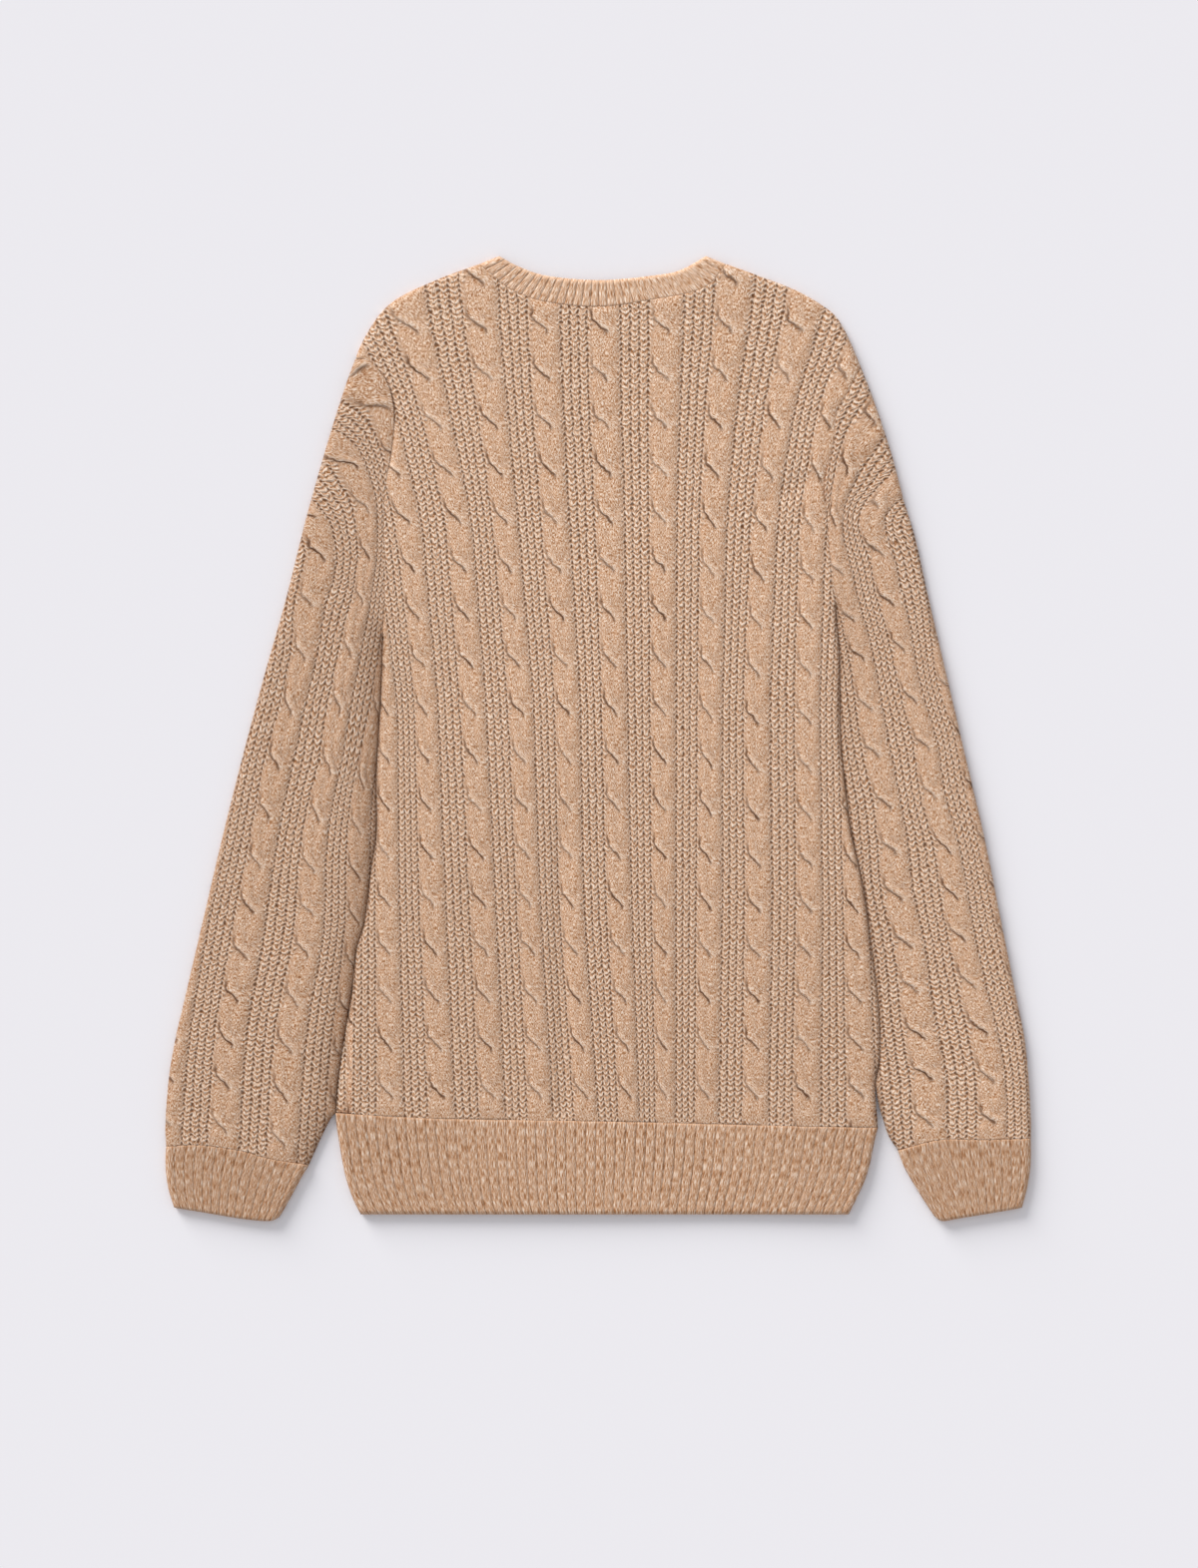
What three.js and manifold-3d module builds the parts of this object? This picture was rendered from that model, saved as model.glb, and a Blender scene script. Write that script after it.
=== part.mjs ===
// A long-sleeved cable knit sweater laid flat on its front, back panel up.
// Units are mm. X runs across the body, Y from hem to neck, Z up from the table.
import * as THREE from 'three';
import Module from 'manifold-3d';

const wasm = await Module();
wasm.setup();
const { Manifold, Mesh } = wasm;

// Cloth. The wall is the knit between the cables, and cables and ribs rise from it.
const WALL = 3.2;
const LAYER_GAP = 0.4;
const SEAM_GAP = 0.32;
const CABLE_RISE = 2.4;
const RIB_RISE = 1.1;
const NECK_RIB_RISE = 0.9;
const SLEEVE_SLOT = 0.5;
const TUBE_SIDE_WALL = 3.6;
const SLOT_OVERRUN = 17;

// Heights above the table.
const BACK_BASE = WALL + LAYER_GAP;
const BACK_GROUND = BACK_BASE + WALL;
const SLEEVE_GROUND = 2 * WALL + SLEEVE_SLOT;
const BELOW_ALL = -4;

// Cables. One repeat is a crossing and the pod below it.
const CABLE_PITCH = 35.9;
const FIRST_CROSSING_Y = 310.5;
const CROSSING_HALF = 6.5;
const BODY_CROSSINGS = 17;
const SIDE_MARGIN = 60;
const CABLE_HALF_LOW = 8.6;
const CABLE_HALF_HIGH = 10.4;
const CABLE_WIDENS_FROM = 180;
const CABLE_WIDENS_TO = 320;
const SLEEVE_CABLE_HALF = 9.4;
const STRAND_OFFSET = 0.55;

// Ribs.
const HEM_RIBS = 54;
const CUFF_RIBS = 17;
const NECK_RIBS = 31;
const RIB_CREST_FROM = 0.22;
const RIB_CREST_TO = 0.78;

// Spacing of the points along a curved edge.
const EDGE_STEP = 17;
const RIB_EDGE_STEP = 12;
const STRAIGHT = 400;

// How far the top edge of a piece is rolled in, at heights above its own base.
const BACK_ROLL = [
  { above: 0, inset: 0 },
  { above: 1.7, inset: 0 },
  { above: 3.3, inset: 1.3 },
  { above: 6.4, inset: 6.5 },
];
const FRONT_ROLL = [
  { above: 0, inset: 1.1 },
  { above: 1.2, inset: 0 },
  { above: WALL, inset: 0 },
];
const RIB_ROLL = [
  { above: 0, inset: 0 },
  { above: 1.9, inset: 0 },
  { above: 6.4, inset: 5.5 },
];
const CUFF_ROLL = [
  { above: 0, inset: 1.5 },
  { above: 1.7, inset: 0 },
  { above: 5.4, inset: 0 },
  { above: 9.7, inset: 5.5 },
];
const TUBE_ROLL = [
  { above: 0, inset: 1.5 },
  { above: 1.7, inset: 0 },
  { above: 5.2, inset: 0 },
  { above: 7, inset: 1.4 },
  { above: 9.7, inset: 6 },
];

// Edges, each row a point (x, y) from the neck down or from left to right.
const NECK_TOP = [[-74, 362], [-59, 354], [-37, 347], [3, 344], [46, 348], [63, 352], [81, 362]];
const NECK_SEAM = [
  [-89, 356], [-76, 345], [-62, 335], [-37, 327], [3, 324], [46, 330], [68, 334], [84, 341], [96, 356],
];
const FRONT_NECK_TOP = [[-74, 362], [-66, 328], [-40, 297], [3, 286], [46, 297], [72, 328], [81, 362]];
const FRONT_NECK_SEAM = [[-89, 356], [-84, 320], [-52, 278], [3, 265], [58, 278], [91, 320], [96, 356]];
const LEFT_SHOULDER = [
  [-89, 356], [-119, 345], [-149, 331], [-164, 318], [-176, 299], [-182, 285], [-189, 266],
];
const RIGHT_SHOULDER = [
  [96, 356], [121, 347], [151, 335], [175, 320], [184, 308], [189, 298], [197, 279],
];
const LEFT_ARMHOLE = [
  [-189, 266], [-176, 255], [-166, 236], [-164, 221], [-162, 195],
  [-160, 165], [-160, 135], [-160, 105], [-161, 75],
];
const RIGHT_ARMHOLE = [
  [197, 279], [187, 259], [179, 246], [177, 225], [172, 202],
  [170, 188], [172, 165], [175, 123], [178, 99],
];
const LEFT_SIDE = [
  [-161, 75], [-163, 26], [-166, -25], [-166, -70], [-170, -98], [-175, -137],
  [-181, -158], [-184, -184], [-191, -225], [-196, -262], [-197, -281],
];
const RIGHT_SIDE = [
  [178, 99], [181, 60], [182, 0], [188, -60], [194, -90], [200, -120],
  [208, -180], [211, -210], [211, -240], [208, -259], [210, -292],
];
const HEM_SEAM = [[-197, -281], [-120, -285], [0, -287], [120, -290], [210, -292]];
const LEFT_HEM_SIDE = [
  [-197, -281], [-196, -291], [-194, -304], [-192, -316], [-189, -330], [-184, -345], [-178, -357],
];
const RIGHT_HEM_SIDE = [[210, -292], [207, -304], [204, -319], [200, -332], [194, -345], [188, -357]];
const HEM_EDGE = [[-178, -357], [188, -357]];
const LEFT_SLEEVE_OUTER = [
  [-189, 266], [-202, 225], [-219, 165], [-234, 105], [-251, 45], [-267, -15], [-282, -75],
  [-296, -135], [-310, -195], [-317, -225], [-322, -255], [-324.6, -290], [-324, -306],
];
const RIGHT_SLEEVE_OUTER = [
  [197, 279], [206, 256], [220, 214], [229, 180], [238, 150], [248, 105], [263, 41], [276, -15],
  [290, -75], [302, -135], [314, -195], [320, -225], [323, -255], [324.7, -285], [324.7, -300],
];
const LEFT_SLEEVE_INNER = [[-197, -281], [-201, -286], [-208, -300], [-217, -320]];
const RIGHT_SLEEVE_INNER = [[208, -259], [211, -276], [214, -286], [218, -298], [225, -309]];
const LEFT_CUFF_SEAM = [[-324, -306], [-299, -305], [-269, -309], [-247, -315], [-217, -320]];
const RIGHT_CUFF_SEAM = [[324.7, -300], [286, -301], [256, -301], [225, -309]];
const LEFT_CUFF_OUTER = [[-324, -306], [-324.5, -320], [-322.5, -337], [-318, -352]];
const RIGHT_CUFF_OUTER = [[324.7, -300], [324.5, -320], [322, -337], [318, -352]];
const LEFT_CUFF_EDGE = [[-318, -352], [-299, -355], [-269, -360], [-247, -362], [-239, -359]];
const RIGHT_CUFF_EDGE = [[318, -352], [301, -355], [271, -360], [258, -362], [252, -358]];
const LEFT_CUFF_INNER = [[-217, -320], [-224, -332], [-232, -347], [-239, -359]];
const RIGHT_CUFF_INNER = [[225, -309], [230, -322], [241, -341], [252, -358]];

// Where the eleven body cables run: x of each centre line, left to right, at that y.
const BODY_CABLES = [
  { y: 380, x: [-310, -240, -153, -90, -42, 3, 51, 105, 166, 245, 320] },
  { y: 308, x: [-255, -198, -139, -86, -40, 4, 51, 99, 151, 205, 262] },
  { y: 255, x: [-212, -164, -125, -80, -38, 5, 50, 92, 138, 176, 226] },
  { y: 165, x: [-178, -143, -104, -70, -33, 9, 49, 86, 125, 160, 200] },
  { y: 30, x: [-158, -130, -94, -58, -23, 12, 49, 84, 118, 158, 188] },
  { y: -120, x: [-158, -125, -86, -52, -21, 16, 49, 83, 120, 159, 193] },
  { y: -262, x: [-156, -118, -80, -44, -10, 23, 50, 81, 118, 156, 197] },
  { y: -310, x: [-155, -115, -78, -42, -7, 25, 50, 80, 117, 155, 198] },
];

// Sections across a sleeve from the cuff up to the armhole: its outer and inner ends, and
// how far across from the outer end each cable lies, as a part of the whole.
const LEFT_SLEEVE_SECTIONS = [
  { outer: [-330, -318], inner: [-210, -334], cables: [0.38, 0.73, 1.12] },
  { outer: [-330, -300], inner: [-204, -312], cables: [0.38, 0.73, 1.12] },
  { outer: [-323, -225], inner: [-185, -238], cables: [0.33, 0.66, 0.97] },
  { outer: [-301, -135], inner: [-168, -148], cables: [0.32, 0.64, 0.94] },
  { outer: [-279, -45], inner: [-159, -60], cables: [0.31, 0.62, 0.94] },
  { outer: [-260, 30], inner: [-156, 14], cables: [0.31, 0.63, 1.0] },
  { outer: [-242, 94], inner: [-153, 66], cables: [0.28, 0.62, 1.08] },
  { outer: [-229, 144], inner: [-151, 86], cables: [0.29, 0.66, 1.1] },
  { outer: [-214, 196], inner: [-149, 98], cables: [0.3, 0.7, 1.1] },
  { outer: [-199, 248], inner: [-145, 104], cables: [0.32, 0.7, 1.1] },
  { outer: [-180, 285], inner: [-130, 110], cables: [0.35, 0.7, 1.1] },
];
const RIGHT_SLEEVE_SECTIONS = [
  { outer: [331, -315], inner: [215, -326], cables: [0.4, 0.75, 1.12] },
  { outer: [331, -295], inner: [206, -304], cables: [0.36, 0.69, 1.1] },
  { outer: [325, -225], inner: [200, -234], cables: [0.34, 0.65, 1.08] },
  { outer: [307, -135], inner: [191, -144], cables: [0.32, 0.64, 1.05] },
  { outer: [287, -45], inner: [176, -56], cables: [0.31, 0.66, 1.06] },
  { outer: [271, 30], inner: [171, 16], cables: [0.3, 0.69, 1.1] },
  { outer: [255, 94], inner: [168, 72], cables: [0.29, 0.68, 1.1] },
  { outer: [243, 150], inner: [166, 98], cables: [0.3, 0.68, 1.1] },
  { outer: [230, 202], inner: [164, 110], cables: [0.3, 0.7, 1.1] },
  { outer: [213, 256], inner: [160, 118], cables: [0.32, 0.7, 1.1] },
  { outer: [190, 298], inner: [142, 124], cables: [0.35, 0.7, 1.1] },
];

// Five lines run down a cable: where each lies across it, in half widths.
const CABLE_LINES = [-1, -STRAND_OFFSET, 0, STRAND_OFFSET, 1];
// How high they stand as parts of the full rise: above, at and below a crossing, where the
// left strand passes over to the right.
const CABLE_ROWS = [
  { along: CROSSING_HALF, rise: [0, 1, 0.72, 0.62, 0] },
  { along: 0, rise: [0, 0.6, 1, 0.6, 0] },
  { along: -CROSSING_HALF, rise: [0, 0.62, 0.72, 1, 0] },
];

const toVector = ([x, y]) => new THREE.Vector2(x, y);

// A smooth line through the points, cut into equal steps, ends kept.
function smoothLine(points, step = EDGE_STEP) {
  const curve = new THREE.SplineCurve(points.map(toVector));
  return curve.getSpacedPoints(Math.max(1, Math.round(curve.getLength() / step)));
}

// One loop from lines that follow each other end to end, anticlockwise.
function loopOf(lines) {
  const loop = lines.flatMap((line) => line.slice(0, -1));
  return THREE.ShapeUtils.area(loop) < 0 ? loop.reverse() : loop;
}

const backwards = (line) => [...line].reverse();

// The loop moved in by that distance, corners mitred.
function insetLoop(loop, distance) {
  return loop.map((point, i) => {
    const before = loop[(i + loop.length - 1) % loop.length];
    const after = loop[(i + 1) % loop.length];
    const first = point.clone().sub(before).normalize();
    const second = after.clone().sub(point).normalize();
    const inward = new THREE.Vector2(-first.y - second.y, first.x + second.x).normalize();
    const lean = Math.max(0.5, inward.dot(new THREE.Vector2(-first.y, first.x)));
    return point.clone().addScaledVector(inward, distance / lean);
  });
}

function solidFrom(vertices, triangles) {
  return new Manifold(new Mesh({
    numProp: 3,
    vertProperties: new Float32Array(vertices.flat()),
    triVerts: new Uint32Array(triangles.flat()),
  }));
}

// A solid through loops of equal count at rising heights, each level { z, inset }.
function paddedSolid(loop, levels) {
  const count = loop.length;
  const vertices = [];
  const triangles = [];
  for (const level of levels) {
    for (const point of insetLoop(loop, level.inset)) {
      vertices.push([point.x, point.y, level.z]);
    }
  }
  for (let level = 0; level + 1 < levels.length; level += 1) {
    for (let i = 0; i < count; i += 1) {
      const low = level * count + i;
      const lowNext = level * count + (i + 1) % count;
      triangles.push([low, lowNext, lowNext + count], [low, lowNext + count, low + count]);
    }
  }
  const capOf = (first) => THREE.ShapeUtils.triangulateShape(
    vertices.slice(first, first + count).map(toVector), [],
  );
  const top = (levels.length - 1) * count;
  capOf(0).forEach(([a, b, c]) => triangles.push([a, c, b]));
  capOf(top).forEach(([a, b, c]) => triangles.push([a + top, b + top, c + top]));
  return solidFrom(vertices, triangles);
}

// A block whose top passes through a grid of points, rows of [x, y, z] in order left to
// right, from the lowest row up.
function reliefBlock(rows) {
  const width = rows[0].length;
  const size = rows.length * width;
  const tops = rows.flat();
  const vertices = [...tops, ...tops.map(([x, y]) => [x, y, BELOW_ALL])];
  const triangles = [];
  for (let r = 0; r + 1 < rows.length; r += 1) {
    for (let c = 0; c + 1 < width; c += 1) {
      const a = r * width + c;
      const b = a + 1;
      const d = a + width;
      const e = d + 1;
      triangles.push([a, b, e], [a, e, d]);
      triangles.push([a + size, e + size, b + size], [a + size, d + size, e + size]);
    }
    const left = r * width;
    const right = left + width - 1;
    triangles.push([left, left + width, left + width + size], [left, left + width + size, left + size]);
    triangles.push([right, right + width + size, right + width], [right, right + size, right + width + size]);
  }
  const last = (rows.length - 1) * width;
  for (let c = 0; c + 1 < width; c += 1) {
    triangles.push([c, c + size, c + 1 + size], [c, c + 1 + size, c + 1]);
    const d = last + c;
    triangles.push([d, d + 1, d + 1 + size], [d, d + 1 + size, d + size]);
  }
  return solidFrom(vertices, triangles);
}

const levelsOf = (roll, base) => roll.map(({ above, inset }) => ({
  z: base + above,
  inset: inset + SEAM_GAP / 2,
}));

// Linear reading of a table at y. Rows run from high y to low.
function cablesAt(y) {
  const last = BODY_CABLES.length - 2;
  let i = 0;
  while (i < last && y < BODY_CABLES[i + 1].y) {
    i += 1;
  }
  const part = (BODY_CABLES[i].y - y) / (BODY_CABLES[i].y - BODY_CABLES[i + 1].y);
  return BODY_CABLES[i].x.map((x, k) => THREE.MathUtils.lerp(x, BODY_CABLES[i + 1].x[k], part));
}

// The body's knit with its eleven cables.
function bodyRelief() {
  const rows = [];
  for (let k = BODY_CROSSINGS - 1; k >= -1; k -= 1) {
    for (const row of [...CABLE_ROWS].reverse()) {
      const y = FIRST_CROSSING_Y - k * CABLE_PITCH + row.along;
      const half = THREE.MathUtils.mapLinear(
        THREE.MathUtils.clamp(y, CABLE_WIDENS_FROM, CABLE_WIDENS_TO),
        CABLE_WIDENS_FROM, CABLE_WIDENS_TO, CABLE_HALF_LOW, CABLE_HALF_HIGH,
      );
      const line = cablesAt(y).flatMap((x) => CABLE_LINES.map((across, i) => [
        x + across * half, y, BACK_GROUND + CABLE_RISE * row.rise[i],
      ]));
      rows.push([[line[0][0] - SIDE_MARGIN, y, BACK_GROUND], ...line, [line.at(-1)[0] + SIDE_MARGIN, y, BACK_GROUND]]);
    }
  }
  const low = rows[0].map(([x, y]) => [x, y - 30, BACK_GROUND]);
  const high = rows.at(-1).map(([x, y]) => [x, y + 30, BACK_GROUND]);
  return reliefBlock([low, ...rows, high]);
}

// A sleeve's knit with its cables, on sections that turn with the cap.
function sleeveRelief(sections, isLeft) {
  const middle = (s) => toVector(s.outer).lerp(toVector(s.inner), 0.5);
  const along = [0];
  for (let i = 1; i < sections.length; i += 1) {
    along.push(along[i - 1] + middle(sections[i]).distanceTo(middle(sections[i - 1])));
  }
  const sectionAt = (distance) => {
    let i = 0;
    while (i < sections.length - 2 && distance > along[i + 1]) {
      i += 1;
    }
    const part = (distance - along[i]) / (along[i + 1] - along[i]);
    return {
      outer: toVector(sections[i].outer).lerp(toVector(sections[i + 1].outer), part),
      inner: toVector(sections[i].inner).lerp(toVector(sections[i + 1].inner), part),
      cables: sections[i].cables.map((c, k) => THREE.MathUtils.lerp(c, sections[i + 1].cables[k], part)),
    };
  };
  const distances = [];
  for (let start = CABLE_PITCH * 0.85; start < along.at(-1) - CROSSING_HALF; start += CABLE_PITCH) {
    CABLE_ROWS.forEach((row, i) => {
      distances.push({ at: start - row.along, rise: CABLE_ROWS[CABLE_ROWS.length - 1 - i].rise });
    });
  }
  distances.push({ at: along.at(-1), rise: CABLE_LINES.map(() => 0) });
  const rows = [{ at: 0, rise: CABLE_LINES.map(() => 0) }, ...distances].map(({ at, rise }) => {
    const { outer, inner, cables } = sectionAt(at);
    const width = outer.distanceTo(inner);
    const point = (across, z) => {
      const p = outer.clone().lerp(inner, across);
      return [p.x, p.y, z];
    };
    const line = cables.flatMap((centre) => CABLE_LINES.map((across, i) => {
      const mirrored = isLeft ? rise[i] : rise[CABLE_LINES.length - 1 - i];
      return point(centre + across * SLEEVE_CABLE_HALF / width, SLEEVE_GROUND + CABLE_RISE * mirrored);
    }));
    const ends = [point(-0.08, SLEEVE_GROUND), ...line, point(1.45, SLEEVE_GROUND)];
    return isLeft ? ends : ends.reverse();
  });
  return reliefBlock(rows);
}

// Ribs that run from a lower line to an upper one. Both lines run left to right.
function ribRelief(lower, upper, count, valley, rise) {
  const low = new THREE.SplineCurve(lower.map(toVector));
  const high = new THREE.SplineCurve(upper.map(toVector));
  const fractions = [{ part: -0.04, z: valley }];
  for (let i = 0; i < count; i += 1) {
    fractions.push({ part: i / count, z: valley });
    fractions.push({ part: (i + RIB_CREST_FROM) / count, z: valley + rise });
    fractions.push({ part: (i + RIB_CREST_TO) / count, z: valley + rise });
  }
  fractions.push({ part: 1, z: valley }, { part: 1.04, z: valley });
  const pointOn = (curve, part) => {
    const inside = curve.getPointAt(THREE.MathUtils.clamp(part, 0, 1));
    const end = part < 0 ? curve.getTangentAt(0) : curve.getTangentAt(1);
    const past = part < 0 ? part : Math.max(0, part - 1);
    return inside.addScaledVector(end, past * curve.getLength());
  };
  const rows = [-0.12, 1.12].map((up) => fractions.map(({ part, z }) => {
    const p = pointOn(low, part).lerp(pointOn(high, part), up);
    return [p.x, p.y, z];
  }));
  return reliefBlock(rows);
}

const moved = (points, dx, dy) => points.map(([x, y]) => [x + dx, y + dy]);

// The flat hollow of a tube, open past both of its ends.
function hollow(lines) {
  const loop = insetLoop(loopOf(lines), TUBE_SIDE_WALL);
  return paddedSolid(loop, [{ z: WALL, inset: 0 }, { z: WALL + SLEEVE_SLOT, inset: 0 }]);
}

// A sleeve's hollow: straight lines join the moved ends to the sides.
function sleeveHollow(outer, side, inner, cuffSeam, towardsBody) {
  const armhole = [
    [outer[0][0] + towardsBody * SLOT_OVERRUN, outer[0][1] + 6],
    [side[0][0] + towardsBody * SLOT_OVERRUN, side[0][1] + 12],
  ];
  const innerSide = [armhole[1], ...side, ...inner.slice(1)];
  const cuffEnd = moved([cuffSeam[0], cuffSeam.at(-1)], 0, -SLOT_OVERRUN);
  return hollow([
    smoothLine(armhole, STRAIGHT),
    smoothLine(innerSide),
    [toVector(cuffSeam.at(-1)), ...backwards(cuffEnd).map(toVector), toVector(cuffSeam[0])],
    backwards(smoothLine([armhole[0], ...outer])),
  ]);
}

function cuffHollow(outer, edge, inner, seam) {
  const top = moved([seam[0], seam.at(-1)], 0, SLOT_OVERRUN).map(toVector);
  const bottom = moved([edge[0], edge.at(-1)], 0, -SLOT_OVERRUN).map(toVector);
  return hollow([
    [top[0], top[1], toVector(seam.at(-1))],
    smoothLine(inner),
    [toVector(inner.at(-1)), bottom[1], bottom[0], toVector(outer.at(-1))],
    [...backwards(smoothLine(outer)), top[0]],
  ]);
}

const neckSeam = smoothLine(NECK_SEAM, RIB_EDGE_STEP);
const frontNeckSeam = smoothLine(FRONT_NECK_SEAM, RIB_EDGE_STEP);
const leftShoulder = smoothLine(LEFT_SHOULDER);
const rightShoulder = smoothLine(RIGHT_SHOULDER);
const leftArmhole = smoothLine(LEFT_ARMHOLE);
const rightArmhole = smoothLine(RIGHT_ARMHOLE);
const leftSide = smoothLine(LEFT_SIDE);
const rightSide = smoothLine(RIGHT_SIDE);
const hemSeam = smoothLine(HEM_SEAM, RIB_EDGE_STEP * 3);

function bodyLoop(seam) {
  return loopOf([
    seam,
    rightShoulder,
    rightArmhole,
    rightSide,
    backwards(hemSeam),
    backwards(leftSide),
    backwards(leftArmhole),
    backwards(leftShoulder),
  ]);
}

const hemLoop = loopOf([
  hemSeam,
  smoothLine(RIGHT_HEM_SIDE),
  backwards(smoothLine(HEM_EDGE, STRAIGHT)),
  backwards(smoothLine(LEFT_HEM_SIDE)),
]);

function neckLoop(top, seam) {
  return loopOf([
    smoothLine(top, RIB_EDGE_STEP),
    smoothLine([top.at(-1), NECK_SEAM.at(-1)], STRAIGHT),
    backwards(seam),
    smoothLine([NECK_SEAM[0], top[0]], STRAIGHT),
  ]);
}

const frontLevels = levelsOf(FRONT_ROLL, 0);
const backLevels = levelsOf(BACK_ROLL, BACK_BASE);
const ribLevels = levelsOf(RIB_ROLL, BACK_BASE);
const tubeLevels = levelsOf(TUBE_ROLL, 0);
const cuffLevels = levelsOf(CUFF_ROLL, 0);

// The back and front panels, the back with its cables.
function backPanel() {
  return paddedSolid(bodyLoop(neckSeam), backLevels).intersect(bodyRelief());
}

function frontPanel() {
  return paddedSolid(bodyLoop(frontNeckSeam), frontLevels);
}

// The ribbed hem in two layers.
function hemBack() {
  const relief = ribRelief(
    [[-178, -357], [188, -357]], [[-197, -283], [210, -291]], HEM_RIBS, BACK_GROUND - RIB_RISE / 2, RIB_RISE,
  );
  return paddedSolid(hemLoop, ribLevels).intersect(relief);
}

function hemFront() {
  return paddedSolid(hemLoop, frontLevels);
}

// The ribbed neckband, whose front half lies under the back.
function neckbandBack() {
  const relief = ribRelief(NECK_SEAM, NECK_TOP, NECK_RIBS, BACK_GROUND - NECK_RIB_RISE / 2, NECK_RIB_RISE);
  return paddedSolid(neckLoop(NECK_TOP, neckSeam), ribLevels).intersect(relief);
}

function neckbandFront() {
  return paddedSolid(neckLoop(FRONT_NECK_TOP, frontNeckSeam), frontLevels);
}

// A sleeve is a tube laid flat.
function sleeve({ outer, armhole, side, inner, cuffSeam, sections, isLeft }) {
  const loop = loopOf([
    smoothLine(outer),
    smoothLine(cuffSeam),
    backwards(smoothLine(inner)),
    backwards(isLeft ? smoothLine(side) : smoothLine(side.slice(0, -1))),
    backwards(smoothLine(armhole)),
  ]);
  const hollowPart = sleeveHollow(
    outer, isLeft ? side : side.slice(0, -1), inner, cuffSeam, isLeft ? 1 : -1,
  );
  return paddedSolid(loop, tubeLevels)
    .intersect(sleeveRelief(sections, isLeft))
    .subtract(hollowPart);
}

// A cuff is a ribbed tube laid flat.
function cuff({ outer, edge, inner, seam, isLeft }) {
  const loop = loopOf([
    smoothLine(seam, RIB_EDGE_STEP),
    smoothLine(inner, RIB_EDGE_STEP),
    backwards(smoothLine(edge, RIB_EDGE_STEP)),
    backwards(smoothLine(outer, RIB_EDGE_STEP)),
  ]);
  const lower = isLeft ? edge : backwards(edge);
  const upper = isLeft ? seam : backwards(seam);
  const relief = ribRelief(
    [lower[0], lower.at(-1)], [upper[0], upper.at(-1)], CUFF_RIBS, SLEEVE_GROUND - RIB_RISE / 2, RIB_RISE,
  );
  return paddedSolid(loop, cuffLevels)
    .intersect(relief)
    .subtract(cuffHollow(outer, edge, inner, seam));
}

const KNIT = { color: 0xc6a283, roughness: 0.95, metalness: 0 };
const RIB = { color: 0xb99778, roughness: 0.95, metalness: 0 };

const sweater = new THREE.Group();
sweater.name = 'cable_knit_sweater';

function addPiece(name, solid, look) {
  const { vertProperties, triVerts, numProp } = solid.getMesh();
  const positions = new Float32Array(triVerts.length * 3);
  triVerts.forEach((vertex, i) => {
    for (let axis = 0; axis < 3; axis += 1) {
      positions[i * 3 + axis] = vertProperties[vertex * numProp + axis];
    }
  });
  const geometry = new THREE.BufferGeometry();
  geometry.setAttribute('position', new THREE.BufferAttribute(positions, 3));
  geometry.computeVertexNormals();
  const mesh = new THREE.Mesh(geometry, new THREE.MeshStandardMaterial(look));
  mesh.name = name;
  sweater.add(mesh);
}

addPiece('front_panel', frontPanel(), KNIT);
addPiece('back_panel', backPanel(), KNIT);
addPiece('hem_rib_front', hemFront(), RIB);
addPiece('hem_rib_back', hemBack(), RIB);
addPiece('neckband_front', neckbandFront(), RIB);
addPiece('neckband_back', neckbandBack(), RIB);
addPiece('sleeve_left', sleeve({
  outer: LEFT_SLEEVE_OUTER,
  armhole: LEFT_ARMHOLE,
  side: LEFT_SIDE,
  inner: LEFT_SLEEVE_INNER,
  cuffSeam: LEFT_CUFF_SEAM,
  sections: LEFT_SLEEVE_SECTIONS,
  isLeft: true,
}), KNIT);
addPiece('sleeve_right', sleeve({
  outer: RIGHT_SLEEVE_OUTER,
  armhole: RIGHT_ARMHOLE,
  side: RIGHT_SIDE,
  inner: RIGHT_SLEEVE_INNER,
  cuffSeam: RIGHT_CUFF_SEAM,
  sections: RIGHT_SLEEVE_SECTIONS,
  isLeft: false,
}), KNIT);
addPiece('cuff_left', cuff({
  outer: LEFT_CUFF_OUTER,
  edge: LEFT_CUFF_EDGE,
  inner: LEFT_CUFF_INNER,
  seam: LEFT_CUFF_SEAM,
  isLeft: true,
}), RIB);
addPiece('cuff_right', cuff({
  outer: RIGHT_CUFF_OUTER,
  edge: RIGHT_CUFF_EDGE,
  inner: RIGHT_CUFF_INNER,
  seam: RIGHT_CUFF_SEAM,
  isLeft: false,
}), RIB);

export default sweater;
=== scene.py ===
"""The finished look of a cable knit sweater that lies flat with its back up.

Lengths are in millimetres in the row frame until a mesh is made: x across the body, y from the hem
to the neck, z up from the table.
"""

import logging
import math
from dataclasses import dataclass, field
from enum import Enum

import bpy
import numpy as np
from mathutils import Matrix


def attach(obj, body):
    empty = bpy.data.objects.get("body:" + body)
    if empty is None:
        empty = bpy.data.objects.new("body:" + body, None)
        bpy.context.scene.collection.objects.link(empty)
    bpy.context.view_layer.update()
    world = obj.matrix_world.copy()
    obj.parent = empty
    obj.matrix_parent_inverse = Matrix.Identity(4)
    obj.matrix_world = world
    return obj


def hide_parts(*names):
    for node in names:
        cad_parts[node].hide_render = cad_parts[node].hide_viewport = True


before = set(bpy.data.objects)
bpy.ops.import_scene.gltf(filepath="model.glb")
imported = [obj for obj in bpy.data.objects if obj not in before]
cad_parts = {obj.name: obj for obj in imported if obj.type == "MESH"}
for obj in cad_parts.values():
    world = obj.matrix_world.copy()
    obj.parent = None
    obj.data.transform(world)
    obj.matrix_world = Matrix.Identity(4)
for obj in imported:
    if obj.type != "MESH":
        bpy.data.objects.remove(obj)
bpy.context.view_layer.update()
LOG = logging.getLogger("sweater")

Line = list[tuple[float, float]]

# The cloth as the solids have it: the front layer's thickness, the heights of the upper layer's
# underside and face, the face of a tube, and the floor and roof of its slot.
WALL = 3.2
BACK_BASE = 3.6
BACK_GROUND = 6.8
TUBE_GROUND = 6.9
SLOT_LOW, SLOT_HIGH = 3.2, 3.7

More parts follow.
